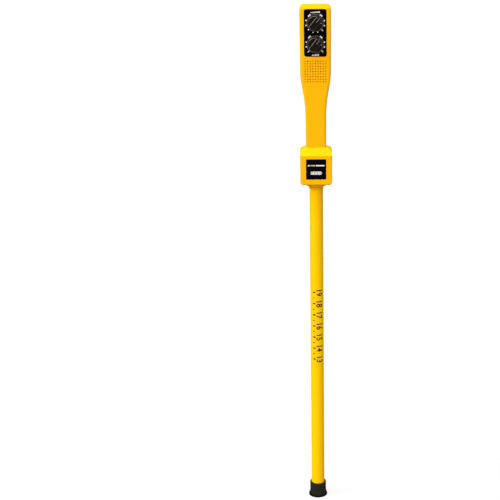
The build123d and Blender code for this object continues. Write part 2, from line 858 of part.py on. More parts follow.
# Batteries and the snaps on their studs
for side, x in (("left", -battery_x), ("right", battery_x)):
    stud_places = [(x - battery_stud_spacing / 2, battery_axis), (x + battery_stud_spacing / 2, battery_axis)]
    with BuildPart() as battery:
        with BuildSketch(Plane.XY.offset(battery_bottom)):
            with Locations((x, battery_axis)):
                RectangleRounded(battery_width, battery_thickness, battery_edge_radius)
        extrude(amount=battery_body_height)
        with BuildSketch(Plane.XY.offset(battery_top)):
            with Locations(*stud_places):
                Circle(battery_stud_diameter / 2)
        extrude(amount=battery_stud_height)
    keep(battery, f"{side}_battery")

    with BuildPart() as snap:
        with BuildSketch(Plane.XY.offset(snap_bottom)):
            with Locations((x + copysign(snap_shift, x), battery_axis)):
                RectangleRounded(snap_width, snap_depth, battery_edge_radius)
        extrude(amount=snap_height)
        with BuildSketch(Plane.XY.offset(snap_bottom)):
            with Locations(*stud_places):
                Circle(battery_stud_diameter / 2 + stud_clearance)
        extrude(amount=battery_stud_height, mode=Mode.SUBTRACT)
    keep(snap, f"{side}_battery_snap")

# Battery cover with its seal and pad, which lift off together
with BuildPart() as battery_cover:
    plate(cover_width, cover_height, cover_corner, bay_middle, box_rear, cover_inside)
    fillet(battery_cover.faces().sort_by(Axis.Y)[-1].edges(), cover_edge_radius)
    cover_hole_radius = cover_screw_diameter / 2 + cover_hole_clearance
    bars(cover_screw_places, cover_hole_radius, box_rear, cover_inside, mode=Mode.SUBTRACT)
keep(battery_cover, "battery_cover")

with BuildPart() as cover_seal:
    seal_front = cover_inside - cover_seal_thickness
    plate(cover_width, cover_height, cover_corner, bay_middle, cover_inside, seal_front)
    with BuildSketch(facing_front(cover_inside)):
        with Locations((0, bay_middle)):
            Rectangle(2 * bay_half_width, bay_height)
    extrude(amount=cover_seal_thickness, mode=Mode.SUBTRACT)
keep(cover_seal, "cover_seal")

with BuildPart() as cover_pad:
    with BuildSketch(facing_front(cover_inside)):
        with Locations((0, bay_middle)):
            Rectangle(2 * (bay_half_width - cover_pad_inset), bay_height - 2 * cover_pad_inset)
    extrude(amount=cover_pad_thickness)
keep(cover_pad, "cover_pad")

for name, height in cover_screw_heights.items():
    with BuildPart() as cover_screw:
        bars([(0, height)], cover_screw_diameter / 2, box_rear, box_rear - cover_screw_length)
        bars([(0, height)], cover_screw_head_diameter / 2, box_rear + cover_screw_head_height, box_rear)
        with BuildSketch(facing_front(box_rear + cover_screw_head_height)):
            with Locations((0, height)):
                Rectangle(cover_screw_head_diameter, coin_slot_width)
        extrude(amount=coin_slot_depth, mode=Mode.SUBTRACT)
    keep(cover_screw, f"{name}_cover_screw")

with BuildPart() as cover_inserts:
    insert_end = cover_ledge - cover_insert_length
    insert_bore_radius = cover_screw_diameter / 2 + cover_screw_clearance
    bars(cover_screw_places, cover_insert_diameter / 2, cover_ledge, insert_end)
    bars(cover_screw_places, insert_bore_radius, cover_ledge, insert_end, mode=Mode.SUBTRACT)
keep(cover_inserts, "cover_inserts")

# Sensor tube, cross drilled for its pin
with BuildPart() as sensor_tube:
    upright(tube_radius, foot_sole, tube_top)
    upright(tube_bore_radius, foot_sole, tube_top, mode=Mode.SUBTRACT)
    with BuildSketch(Plane.YZ):
        with Locations((0, pin_level)):
            Circle(pin_diameter / 2 + fit_clearance)
    extrude(amount=tube_diameter, both=True, mode=Mode.SUBTRACT)
keep(sensor_tube, "sensor_tube")

with BuildPart() as tube_pin:
    with BuildSketch(Plane.YZ):
        with Locations((0, pin_level)):
            Circle(pin_diameter / 2)
    extrude(amount=pin_half_length, both=True)
keep(tube_pin, "tube_pin")

with BuildPart() as tube_seal_ring:
    with Locations((0, 0, seal_ring_level)):
        Torus(socket_radius + seal_ring_section / 2, seal_ring_section / 2)
keep(tube_seal_ring, "tube_seal_ring")

with BuildPart() as tube_grommet:
    upright(tube_bore_radius - fit_clearance, tube_top - grommet_length, tube_top)
    upright(tube_radius, tube_top, tube_top + grommet_flange)
    with BuildSketch(Plane.XY.offset(tube_top - grommet_length)):
        with Locations((cable_x, cable_y)):
            Circle(cable_diameter / 2 + fit_clearance)
    extrude(amount=grommet_length + grommet_flange, mode=Mode.SUBTRACT)
keep(tube_grommet, "tube_grommet")

with BuildPart() as tube_end_plug:
    upright(tube_bore_radius - fit_clearance, foot_sole, foot_sole + plug_length)
keep(tube_end_plug, "tube_end_plug")

# Rubber foot: a boot on the tube's end, flared to its base, with ring grooves in the sole
with BuildPart() as rubber_foot:
    rim_radius = socket_radius + foot_wall
    base_radius = rim_radius + foot_flare
    with BuildSketch(Plane.XZ) as half_section:
        with BuildLine():
            Polyline((socket_radius, foot_sole), (0, foot_sole), (0, 0), (base_radius, 0))
            Line((base_radius, 0), (base_radius, foot_base_height))
            wall = Line((rim_radius, foot_height), (rim_radius, foot_flare_height))
            TangentArc(wall @ 1, (base_radius, foot_base_height), tangent=wall % 1)
            Polyline((rim_radius, foot_height), (socket_radius, foot_height), (socket_radius, foot_sole))
        make_face()
        fillet(half_section.vertices().sort_by_distance((base_radius, 0))[0], foot_edge_radius)
        fillet(half_section.vertices().sort_by_distance((rim_radius, foot_height))[0], foot_rim_radius)
    revolve(axis=Axis.Z)
    for inset in tread_groove_insets:
        with BuildSketch(Plane.XY):
            Circle(base_radius - inset + tread_groove_width / 2)
            Circle(base_radius - inset - tread_groove_width / 2, mode=Mode.SUBTRACT)
        extrude(amount=tread_groove_depth, mode=Mode.SUBTRACT)
keep(rubber_foot, "rubber_foot")

# Two sensors on one carrier rod: bobbin, winding and core, with the rod seated in their facing flanges
neck_radius = sensor_neck_diameter / 2
core_radius = core_diameter / 2
for name, bottom in sensor_bottoms.items():
    top = bottom + sensor_length
    seat_bottom = top - carrier_seat if name == "lower" else bottom
    with BuildPart() as bobbin:
        upright(sensor_diameter / 2, bottom, bottom + sensor_flange)
        upright(neck_radius, bottom, top)
        upright(sensor_diameter / 2, top - sensor_flange, top)
        upright(core_radius + fit_clearance, bottom + sensor_flange, top - sensor_flange, mode=Mode.SUBTRACT)
        seat_radius = carrier_diameter / 2 + fit_clearance
        upright(seat_radius, seat_bottom, seat_bottom + carrier_seat, mode=Mode.SUBTRACT)
    keep(bobbin, f"{name}_sensor_bobbin")

    with BuildPart() as winding:
        winding_bottom = bottom + sensor_flange
        winding_top = top - sensor_flange
        upright(winding_diameter / 2, winding_bottom, winding_top)
        upright(neck_radius + fit_clearance, winding_bottom, winding_top, mode=Mode.SUBTRACT)
    keep(winding, f"{name}_sensor_winding")

    with BuildPart() as core:
        upright(core_radius, bottom + sensor_flange + fit_clearance, top - sensor_flange - fit_clearance)
    keep(core, f"{name}_sensor_core")

lower_sensor_top = sensor_bottoms["lower"] + sensor_length
upper_sensor_bottom = sensor_bottoms["upper"]
upper_sensor_top = upper_sensor_bottom + sensor_length
with BuildPart() as sensor_carrier:
    upright(carrier_diameter / 2, lower_sensor_top - carrier_seat, upper_sensor_bottom + carrier_seat)
keep(sensor_carrier, "sensor_carrier")

with BuildPart() as sensor_spacers:
    for bottom in sensor_bottoms.values():
        for level in (bottom, bottom + sensor_length - sensor_flange):
            with BuildSketch(Plane.XY.offset(level)):
                Circle(tube_bore_radius - spacer_gap)
                Circle(sensor_diameter / 2 + fit_clearance, mode=Mode.SUBTRACT)
            extrude(amount=sensor_flange)
keep(sensor_spacers, "sensor_spacers")

# Leads, all held inside the housing and the tube
turn_start = taper_bottom + lead_turn_rise
turn_end = grille_middle - lead_turn_drop
with BuildPart() as sensor_cable:
    cable_points = [
        (cable_x, cable_y, upper_sensor_top),
        (cable_x, cable_y, turn_start),
        (cable_board_x, lead_end_y, turn_end),
        (cable_board_x, lead_end_y, board_bottom),
    ]
    add(lead(cable_points, cable_diameter, cable_bend))
keep(sensor_cable, "sensor_cable")

with BuildPart() as battery_leads:
    for x, board_x in ((-lead_x, -lead_board_x), (lead_x, lead_board_x)):
        lead_points = [
            (x, battery_axis - snap_depth / 2, snap_middle),
            (x, lead_y, snap_middle),
            (x, lead_y, turn_start),
            (board_x, lead_end_y, turn_end),
            (board_x, lead_end_y, board_bottom),
        ]
        add(lead(lead_points, lead_diameter, lead_bend))
keep(battery_leads, "battery_leads")

with BuildPart() as sounder_lead:
    sounder_lead_points = [
        (sounder_lead_x, sounder_rear, grille_middle + sounder_lead_rise),
        (sounder_lead_x, lead_end_y, grille_middle + sounder_lead_rise),
        (sounder_lead_x, lead_end_y, board_bottom),
    ]
    add(lead(sounder_lead_points, sounder_lead_diameter, sounder_lead_bend))
keep(sounder_lead, "sounder_lead")

with BuildPart() as sensor_link_lead:
    with BuildSketch(Plane.XY.offset(lower_sensor_top)):
        with Locations((link_lead_x, 0)):
            Circle(link_lead_diameter / 2)
    extrude(amount=upper_sensor_bottom - lower_sensor_top)
keep(sensor_link_lead, "sensor_link_lead")
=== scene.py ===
"""Looks of a hand-held magnetic locator wand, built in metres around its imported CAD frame.

The wand stands on its rubber foot with +Z up along the tube and its front towards -Y.
"""
import json
import math
from contextlib import contextmanager

import bmesh
import bpy
from mathutils import Euler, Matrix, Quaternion, Vector


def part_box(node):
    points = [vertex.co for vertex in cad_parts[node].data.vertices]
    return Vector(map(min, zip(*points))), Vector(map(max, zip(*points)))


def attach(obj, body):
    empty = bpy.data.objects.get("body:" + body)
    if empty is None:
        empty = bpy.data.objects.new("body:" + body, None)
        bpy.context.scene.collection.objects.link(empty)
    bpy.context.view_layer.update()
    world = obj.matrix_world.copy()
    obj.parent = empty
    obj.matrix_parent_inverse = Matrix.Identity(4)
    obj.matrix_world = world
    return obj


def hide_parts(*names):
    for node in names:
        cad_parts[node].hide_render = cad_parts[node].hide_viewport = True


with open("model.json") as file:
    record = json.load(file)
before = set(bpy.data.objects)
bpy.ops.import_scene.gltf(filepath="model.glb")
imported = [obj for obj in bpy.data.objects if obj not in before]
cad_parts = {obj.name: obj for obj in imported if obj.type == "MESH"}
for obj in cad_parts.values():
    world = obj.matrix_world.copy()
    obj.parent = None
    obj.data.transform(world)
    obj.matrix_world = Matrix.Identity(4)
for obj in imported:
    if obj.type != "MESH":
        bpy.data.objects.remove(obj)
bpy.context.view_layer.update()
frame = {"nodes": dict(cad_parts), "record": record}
nodes = frame["nodes"]

mm = 0.001
near = 1e-6
doubled = 0.002 * mm
speck = 0.01 * mm
X, Y, Z = 0, 1, 2
quarter = math.radians(90)

# Places read from the frame
foot_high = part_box("rubber_foot")[1]
tube_low, tube_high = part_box("sensor_tube")
shell_low, shell_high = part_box("rear_shell")
panel_low, panel_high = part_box("control_panel")
plate_low, plate_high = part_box("name_plate")
cover_low, cover_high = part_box("battery_cover")
battery_low, battery_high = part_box("right_battery")
sounder_low, sounder_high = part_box("sounder_case")
seal_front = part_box("cover_seal")[0].y
tube_radius = tube_high.x
panel_face = panel_low.y
plate_face = plate_low.y

# Grip and head
wall = 3 * mm
panel_sink = 0.2 * mm
grip_front = panel_face - panel_sink
grip_rear = -grip_front
head_rear = grip_front + 44 * mm
head_top = shell_high.z
taper_bottom = head_top - 199.5 * mm
taper_top = head_top - 142 * mm
head_corner = 9 * mm
grip_half = tube_radius + 6.5 * mm
grip_spread = 0.6 * mm
head_half = grip_half + 10.6 * mm
head_spread = 0.6 * mm
taper_bend_low = 300 * mm
taper_bend_high = 150 * mm
long_edge_round = 5 * mm
brow_drop = 5.03 * mm
brow_slope = math.radians(20)
brow_edge = 0.4 * mm
level_gap = 0.3 * mm

# Battery box and collar
box_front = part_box("front_shell")[0].y
box_rear = shell_high.y
box_margin = 3.8 * mm
box_fall = 9.5 * mm
box_drop = 6.1 * mm
box_top = cover_high.z + box_margin + box_fall
box_bottom = cover_low.z - box_margin + box_drop
box_half = cover_high.x + 3.7 * mm
box_draft = 0.5 * mm
box_top_round = 11 * mm
box_rear_round = 8 * mm
box_bottom_round = 6 * mm
box_rim_round = 3 * mm
shoulder_height = 15 * mm
shoulder_overlap = 0.1 * mm
shoulder_edge = 0.7 * mm
crease = box_top - shoulder_height
collar_lip = 1.05 * mm
collar_edge = 0.4 * mm
collar_straight = 1 * mm
collar_flare = 6.5 * mm
collar_root = 3 * mm
tube_fit = 0.05 * mm
tube_wall = 1.5 * mm

# Openings in the shells
seam_gap = 0.2 * mm
panel_fit = 0.1 * mm
panel_corner = 4.5 * mm
plate_corner = 1.2 * mm
recess_flare = 0.4 * mm
bush_hole = 4.55 * mm
grille_count = 9
grille_pitch = 5.2 * mm
grille_hole = 1.25 * mm
grille_flare = 0.15 * mm
boss_radius = 4.2 * mm
counterbore_radius = 2.95 * mm
case_screw_head = 2.2 * mm
shank_hole = 1.55 * mm
bay_side = 0.6 * mm
bay_land = 1.8 * mm
bay_corner = 1.5 * mm
bay_floor = battery_low.y - 0.1 * mm
cover_fit = 0.3 * mm
cover_corner = 3 * mm
cover_screws = ("upper_cover_screw", "lower_cover_screw")
post_radius = 3.65 * mm

# Knobs, with heights measured from the panel's face
knob_names = ("volume", "gain")
knob_turn = math.radians(51.5)
knob_gap = 0.5 * mm
knob_rim_radius = 16.15 * mm
knob_rim_edge = 0.35 * mm
knob_rim_top = 2 * mm
knob_cone_radius = 14.5 * mm
knob_cone_top = 6.5 * mm
knob_top = panel_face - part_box("volume_knob")[0].y
knob_half_bar = 7.5 * mm
knob_draft = math.radians(4)
knob_edge = 1.3 * mm
knob_skirt_round = 1.2 * mm
knob_skirt_inset = 0.89 * mm
knob_skirt_angle = 16.8
knob_recess_radius = 10.5 * mm
knob_recess_roof = 4.6 * mm
pointer_start, pointer_end = 3.45 * mm, 13.05 * mm
pointer_half, pointer_depth = 0.85 * mm, 0.65 * mm
set_screw_hole = 1.3 * mm
shaft_hole_radius = 3.05 * mm
shaft_hole_roof = 4 * mm
# The pale dot on each knob's skirt is a painted highlight, standing in for the glint beside the bar.
painted_glint_place = 11.7 * mm
painted_glint_radius = 1.15 * mm
polish_start, polish_end = 0.32, 0.97

# Printed marks, and thin rings painted round the knobs as highlights
ink = 0.06 * mm
overprint = ink / 3
mark_ring = 18.9 * mm
# Thin tan ring round each knob's rim: a painted highlight of the glint on the rim.
glint_ring_radius = 17.05 * mm
glint_ring_half = 0.3 * mm
glint_ring_height = 0.7 * ink
dot_radius = 1.3 * mm
bar_length, bar_width = 6 * mm, 2.4 * mm

# Colours, as linear light
yellow = (0.95, 0.435, 0.004)
yellow_deep = (0.93, 0.415, 0.004)
tube_yellow = (0.95, 0.52, 0.003)
tube_deep = (0.93, 0.50, 0.003)
ink_white = (0.78, 0.76, 0.68)
ink_white_deep = tuple(0.92 * value for value in ink_white)


# Modelling helpers

def activate(piece):
    """Make a piece the only selected object."""
    bpy.ops.object.select_all(action="DESELECT")
    piece.select_set(True)
    bpy.context.view_layer.objects.active = piece


@contextmanager
def editing(piece, everything=False):
    """Edit mode on one piece, with nothing or everything selected at first."""
    activate(piece)
    bpy.ops.object.mode_set(mode="EDIT")
    bpy.ops.mesh.select_all(action="SELECT" if everything else "DESELECT")
    yield
    bpy.ops.object.mode_set(mode="OBJECT")


def choose(piece, kind, test):
    """Select the vertices, edges or faces of the mesh in edit mode that pass a test."""
    bpy.ops.mesh.select_mode(type=kind)
    bpy.ops.mesh.select_all(action="DESELECT")
    mesh = bmesh.from_edit_mesh(piece.data)
    for part in {"VERT": mesh.verts, "EDGE": mesh.edges, "FACE": mesh.faces}[kind]:
        if test(part):
            part.select_set(True)
    bmesh.update_edit_mesh(piece.data)


def extrude(move):
    """Draw out what is selected in edit mode."""
    bpy.ops.mesh.extrude_region_move(TRANSFORM_OT_translate={"value": move})


def stretch(shares, centre):
    """Scale what is selected in edit mode about a point."""
    bpy.ops.transform.resize(value=shares, center_override=centre)


def face_outwards():
    """Turn all faces of the mesh in edit mode outwards."""
    bpy.ops.mesh.select_all(action="SELECT")
    bpy.ops.mesh.normals_make_consistent(inside=False)


def points_of(part):
    """Places of a vertex, or of the vertices of an edge or face."""
    if isinstance(part, bmesh.types.BMVert):
        return [part.co]
    return [vert.co for vert in part.verts]


def lying_at(axis, *places):
    """A test for what lies wholly at one of some places along an axis."""
    def test(part):
        points = points_of(part)
        return any(all(abs(point[axis] - place) < near for point in points) for place in places)
    return test


def running_along(axis, least=0.99):
    """A test for edges that run along an axis, or nearly so."""
    def test(edge):
        first, second = points_of(edge)
        return abs((second - first).normalized()[axis]) > least
    return test


def middle_of(box):
    """Middle of a box given by its two corners."""
    return (box[0] + box[1]) / 2


def named(name):
    """The primitive just added, renamed, with its size and place in its mesh."""
    piece = bpy.context.object
    piece.name = name
    bpy.ops.object.transform_apply(location=True, rotation=True, scale=True)
    return piece


def block(name, low, high):
    """A block between two corners."""
    low, high = Vector(low), Vector(high)
    bpy.ops.mesh.primitive_cube_add(size=1, location=(low + high) / 2)
    bpy.context.object.scale = high - low
    return named(name)


def rod(name, radius, start, end, sides=48):
    """A round rod from one point to another."""
    start, end = Vector(start), Vector(end)
    bpy.ops.mesh.primitive_cylinder_add(
        vertices=sides,
        radius=radius,
        depth=(end - start).length,
        location=(start + end) / 2,
        rotation=(end - start).to_track_quat("Z", "Y").to_euler(),
    )
    return named(name)


def turned(name, rings, sides=96):
    """A turned solid about Z, drawn out of a disc from ring to ring; a ring is a radius and a height."""
    radius, height = rings[0]
    bpy.ops.mesh.primitive_circle_add(
        vertices=sides, radius=radius, fill_type="NGON", location=(0, 0, height)
    )
    piece = named(name)
    with editing(piece, everything=True):
        for (last_radius, last_height), (radius, height) in zip(rings, rings[1:]):
            extrude((0, 0, height - last_height))
            share = radius / last_radius
            stretch((share, share, 1), (0, 0, height))
        face_outwards()
    return piece


def arc(centre, radius, start, end, steps=8):
    """Points of an arc in a plane, by angles in degrees."""
    angles = [math.radians(start + (end - start) * step / steps) for step in range(steps + 1)]
    return [
        (centre[0] + radius * math.cos(angle), centre[1] + radius * math.sin(angle)) for angle in angles
    ]


def rounded_line(points, radii, steps=10):
    """An open line in a plane whose inner corners are rounded to the given radii."""
    points = [Vector(point) for point in points]
    line = [points[0]]
    for before, corner, after, radius in zip(points, points[1:], points[2:], radii):
        back = (before - corner).normalized()
        ahead = (after - corner).normalized()
        half_angle = back.angle(ahead) / 2
        centre = corner + (back + ahead).normalized() * radius / math.sin(half_angle)
        reach = radius / math.tan(half_angle)
        first, last = corner + back * reach - centre, corner + ahead * reach - centre
        line += [centre + radius * first.slerp(last, step / steps) for step in range(steps + 1)]
    return line + [points[-1]]


def across_at(line, height):
    """How far across a rising line is at a height."""
    for low, high in zip(line, line[1:]):
        if height <= high.y + near:
            share = (height - low.y) / (high.y - low.y)
            return low.x + share * (high.x - low.x)
    return line[-1].x


def set_in_place(piece, place, turn=(0, 0, 0)):
    """Turn a piece about the origin and move it, keeping its place in its mesh."""
    activate(piece)
    piece.rotation_euler = turn
    piece.location = place
    bpy.ops.object.transform_apply(location=True, rotation=True, scale=True)
    return piece


def bevel(piece, test, width, segments, sliding=True):
    """Round the edges that pass a test; the new edges slide along old ones, or else keep an even width."""
    with editing(piece):
        choose(piece, "EDGE", test)
        bpy.ops.mesh.bevel(
            offset=width, offset_type="OFFSET", segments=segments, profile=0.5,
            affect="EDGES", clamp_overlap=False, loop_slide=sliding,
        )


def slice_off(piece, point, normal):
    """Cut away what lies beyond a plane and close the cut."""
    with editing(piece, everything=True):
        bpy.ops.mesh.bisect(
            plane_co=point, plane_no=normal, use_fill=True, clear_outer=True, threshold=near
        )


def apply_modifier(piece, kind, **settings):
    """Add a modifier to a piece and apply it."""
    activate(piece)
    modifier = piece.modifiers.new(kind.lower(), kind)
    for key, value in settings.items():
        setattr(modifier, key, value)
    bpy.ops.object.modifier_apply(modifier=modifier.name)


def combine(piece, other, operation):
    """Join, cut or overlap a piece with another one, which is used up."""
    apply_modifier(piece, "BOOLEAN", object=other, operation=operation, solver="MANIFOLD")
    bpy.data.objects.remove(other)


def cut(piece, *cutters):
    """Cut pieces out of another one."""
    for cutter in cutters:
        combine(piece, cutter, "DIFFERENCE")


def copied(piece, name, shift=(0, 0, 0)):
    """A copy of a piece with its own mesh."""
    copy = piece.copy()
    copy.data = piece.data.copy()
    copy.name = name
    bpy.context.scene.collection.objects.link(copy)
    return set_in_place(copy, shift)


def joined(name, pieces):
    """Several pieces as one."""
    activate(pieces[0])
    for piece in pieces:
        piece.select_set(True)
    if len(pieces) > 1:
        bpy.ops.object.join()
    pieces[0].name = name
    return pieces[0]


def smooth(piece, angle=35):
    """Smooth shading that keeps edges sharper than an angle, weighted by the size of the faces."""
    activate(piece)
    bpy.ops.object.shade_smooth_by_angle(angle=math.radians(angle))
    apply_modifier(piece, "WEIGHTED_NORMAL", keep_sharp=True)
    return piece


def solids_of(node):
    """Lowest and highest corners of each separate solid in a CAD node."""
    copy = copied(nodes[node], "solids_probe")
    copy.parent = None
    with editing(copy, everything=True):
        bpy.ops.mesh.remove_doubles(threshold=near)
        bpy.ops.mesh.separate(type="LOOSE")
    boxes = []
    for piece in bpy.context.selected_objects:
        points = [vert.co for vert in piece.data.vertices]
        boxes.append([Vector(pick(axis) for axis in zip(*points)) for pick in (min, max)])
        bpy.data.objects.remove(piece)
    return boxes


def rounded_block(name, low, high, axis, radius, segments=8):
    """A block whose edges along one axis are rounded."""
    piece = block(name, low, high)
    bevel(piece, running_along(axis), radius, segments)
    return piece


# Yellow shells

width_line = rounded_line(
    [
        (grip_half, crease),
        (grip_half + grip_spread, taper_bottom),
        (head_half, taper_top),
        (head_half + head_spread, head_top),
        (0, head_top),
    ],
    (taper_bend_low, taper_bend_high, head_corner),
)[:-1]
rear_line = rounded_line(
    [(grip_rear, crease), (grip_rear, taper_bottom), (head_rear, taper_top), (head_rear, head_top)],
    (taper_bend_low, taper_bend_high),
)
screw_boxes = solids_of("shell_screws") + solids_of("box_screws")
insert_boxes = solids_of("cover_inserts")


def grip_and_head(name, inset):
    """Grip and head as one solid, drawn out from level to level, an even distance inside the outer face."""
    low, high = crease + inset, head_top - inset
    heights = [low]
    for height in sorted(point.y for point in width_line + rear_line):
        if height > heights[-1] + level_gap and height < high - near:
            heights.append(height)
    levels = []
    for height in heights + [high]:
        half = across_at(width_line, height) - inset
        front, rear = grip_front + inset, across_at(rear_line, height) - inset
        levels.append((height, half, (front + rear) / 2, rear - front))
    height, half, middle, depth = levels[0]
    bpy.ops.mesh.primitive_plane_add(size=1, location=(0, middle, height))
    bpy.context.object.scale = (2 * half, depth, 1)
    piece = named(name)
    with editing(piece, everything=True):
        for last, (height, half, middle, depth) in zip(levels, levels[1:]):
            last_height, last_half, last_middle, last_depth = last
            extrude((0, middle - last_middle, height - last_height))
            stretch((half / last_half, depth / last_depth, 1), (0, middle, height))
        face_outwards()
    return piece


def slope_brow(piece, inset, edge=0.0):
    """Cut the sloping brow at the top of the head, and round its front edge."""
    normal = Vector((0, -math.sin(brow_slope), math.cos(brow_slope)))
    point = Vector((0, grip_front, head_top - brow_drop)) - normal * inset
    slice_off(piece, point, normal)
    if edge:
        bevel(piece, lambda part: lying_at(Y, point.y)(part) and lying_at(Z, point.z)(part), edge, 3)


def slope_shoulder(piece, inset, edge=0.0):
    """Cut the box's sloping shoulder, from the crease on its front up to the grip, and round its rim."""
    run = grip_front + shoulder_overlap - box_front
    normal = Vector((0, -shoulder_height, run)).normalized()
    point = Vector((0, box_front, crease)) - normal * inset
    slice_off(piece, point, normal)
    if edge:
        bevel(
            piece, lambda part: all(abs((co - point).dot(normal)) < near for co in points_of(part)),
            edge, 3,
        )


def battery_box(name, inset, rear):
    """Battery box with rounded corners, an even distance inside the outer face; it falls away to the rear."""
    low = Vector((-box_half + inset, box_front + inset, box_bottom + inset))
    high = Vector((box_half - inset, 0, box_top - inset))
    middle = (low.z + high.z) / 2
    piece = block(name, low, high)
    with editing(piece):
        choose(piece, "VERT", lying_at(Z, low.z))
        stretch(((box_half - box_draft - inset) / (box_half - inset), 1, 1), (0, 0, low.z))
    runs_back, at_rear = running_along(Y), lying_at(Y, rear)
    front_round = box_top_round - inset
    for is_top, radius, segments in ((True, front_round, 10), (False, box_bottom_round - inset, 8)):
        bevel(
            piece, lambda edge: runs_back(edge) and (edge.verts[0].co.z > middle) == is_top,
            radius, segments,
        )
    share = rear / box_rear
    rear_round = box_top_round + share * (box_rear_round - box_top_round) - inset
    change = front_round - rear_round
    with editing(piece):
        choose(piece, "FACE", lying_at(Y, 0))
        extrude((0, rear, 0))
        choose(piece, "VERT", lambda vert: at_rear(vert) and vert.co.z < middle)
        bpy.ops.transform.translate(value=(0, 0, -share * box_drop))
        for side in (-1, 1):
            choose(
                piece, "VERT", lambda vert: at_rear(vert) and vert.co.z > middle and vert.co.x * side > 0
            )
            centre = (side * (high.x - front_round), rear, high.z - front_round)
            stretch((rear_round / front_round,) * 3, centre)
            bpy.ops.transform.translate(value=(side * change, 0, change - share * box_fall))
    return piece


def flared_cutter(name, low, high, corner, flare):
    """A cutter for a rounded recess in the front, with a slanting rim; it reaches from low.y to high.y."""
    piece = rounded_block(name, (low.x, low.y + flare, low.z), high, Y, corner, 10)
    width, height = high.x - low.x, high.z - low.z
    with editing(piece):
        choose(piece, "FACE", lying_at(Y, low.y + flare))
        extrude((0, -2 * flare, 0))
        stretch(((width + 4 * flare) / width, 1, (height + 4 * flare) / height), (low + high) / 2)
    return piece


def grille_cutter():
    """The sounder grille's square of small round holes."""
    rings = [
        (grille_hole, -2 * wall),
        (grille_hole, -grille_flare),
        (grille_hole + 2 * grille_flare, grille_flare),
    ]
    hole = turned("grille_cutter", rings, sides=16)
    span = grille_pitch * (grille_count - 1) / 2
    middle = (sounder_low.z + sounder_high.z) / 2
    set_in_place(hole, (-span, grip_front, middle - span), (quarter, 0, 0))
    for step in ((grille_pitch, 0, 0), (0, 0, grille_pitch)):
        apply_modifier(
            hole, "ARRAY", count=grille_count, use_relative_offset=False,
            use_constant_offset=True, constant_offset_displace=step,
        )
    return hole


def along_depth(name, radius, boxes, front, rear):
    """Rods that run front to back through the middle of each box."""
    rods = []
    for box in boxes:
        place = middle_of(box)
        rods.append(rod(name, radius, (place.x, front, place.z), (place.x, rear, place.z)))
    return joined(name, rods)


def grown(low, high, gap):
    """Two corners of a box, moved out across and along the wand by a gap."""
    fit = Vector((gap, 0, gap))
    return low - fit, high + fit


def housing():
    """The yellow housing before it is parted: grip, head, box and collar, hollow inside."""
    body = grip_and_head("housing", 0)
    bevel(
        body,
        lambda edge: abs(edge.verts[0].co.z - edge.verts[1].co.z) > near
        or (lying_at(Z, head_top)(edge) and running_along(X)(edge)),
        long_edge_round, 8, sliding=False,
    )
    slope_brow(body, 0, brow_edge)
    box = battery_box("box", 0, box_rear)
    bevel(box, lying_at(Y, box_front, box_rear), box_rim_round, 6)
    slope_shoulder(box, 0, shoulder_edge)
    combine(body, box, "UNION")

    lip = tube_radius + collar_lip
    bottom = shell_low.z
    rings = [(lip - collar_edge, bottom), (lip, bottom + collar_edge)]
    rings += arc((lip + collar_flare, bottom + collar_straight), collar_flare, 180, 90, 10)
    rings += [(lip + collar_flare, box_bottom + collar_root)]
    combine(body, turned("collar", rings), "UNION")

    hollow = grip_and_head("hollow", wall)
    slope_brow(hollow, wall)
    box_hollow = battery_box("box_hollow", wall, bay_floor - wall)
    slope_shoulder(box_hollow, wall)
    combine(hollow, box_hollow, "UNION")
    cut(hollow, along_depth("bosses", boss_radius, screw_boxes, grip_front - wall, box_rear))
    bore_ends = (0, 0, bottom - wall), (0, 0, box_bottom + 2 * wall)
    cut(body, hollow)
    cut(body, rod("bore", tube_radius + tube_fit, *bore_ends, sides=96))
    return body


def half_of(body, name, front, rear):
    """The part of the housing between two depths."""
    piece = copied(body, name)
    low, high = (-2 * box_half, front, shell_low.z - wall), (2 * box_half, rear, head_top + wall)
    combine(piece, block("half", low, high), "INTERSECT")
    return piece


def front_shell(body):
    """Front half of the housing, with the panel and label recesses, grille and bush holes."""
    piece = half_of(body, "front_housing_shell", 2 * box_front, -seam_gap)
    for low, high, corner, face in (
        (panel_low, panel_high, panel_corner, grip_front),
        (plate_low, plate_high, plate_corner, box_front),
    ):
        low, high = grown(low, high, panel_fit)
        low.y = face
        cut(piece, flared_cutter("recess", low, high, corner + panel_fit, recess_flare))
    cut(piece, grille_cutter())
    for name in knob_names:
        height = knob_place(name).z
        ends = (0, grip_front, height), (0, grip_front + 3 * wall, height)
        cut(piece, rod("bush_hole", bush_hole, *ends))
    return smooth(piece)


def rear_shell(body):
    """Rear half of the housing, with the battery bay, the cover's recess and the screw holes."""
    piece = half_of(body, "rear_housing_shell", seam_gap, 2 * box_rear)
    bay_half = battery_high.x + bay_side
    bay = rounded_block(
        "bay",
        (-bay_half, bay_floor, cover_low.z + bay_land),
        (bay_half, 2 * box_rear, cover_high.z - bay_land),
        Y, bay_corner, 4,
    )
    cut(bay, along_depth("posts", post_radius, insert_boxes, 0, seal_front))
    cut(piece, bay)
    low, high = grown(cover_low, cover_high, cover_fit)
    low.y, high.y = seal_front, 2 * box_rear
    cut(piece, rounded_block("cover_recess", low, high, Y, cover_corner + cover_fit))
    insert_low, insert_high = insert_boxes[0]
    insert_radius = (insert_high.x - insert_low.x) / 2 + tube_fit
    cut(piece, along_depth("insert_bores", insert_radius, insert_boxes, insert_low.y, seal_front + wall))
    seats = [box for box in screw_boxes if box[0].z > box_top]
    head_seat = min(box[1].y for box in seats) - case_screw_head
    cut(piece, along_depth("counterbores", counterbore_radius, seats, head_seat, 2 * box_rear))
    cut(piece, along_depth("shank_holes", shank_hole, screw_boxes, -wall, battery_low.y + wall))
    return smooth(piece)


# Tube and foot

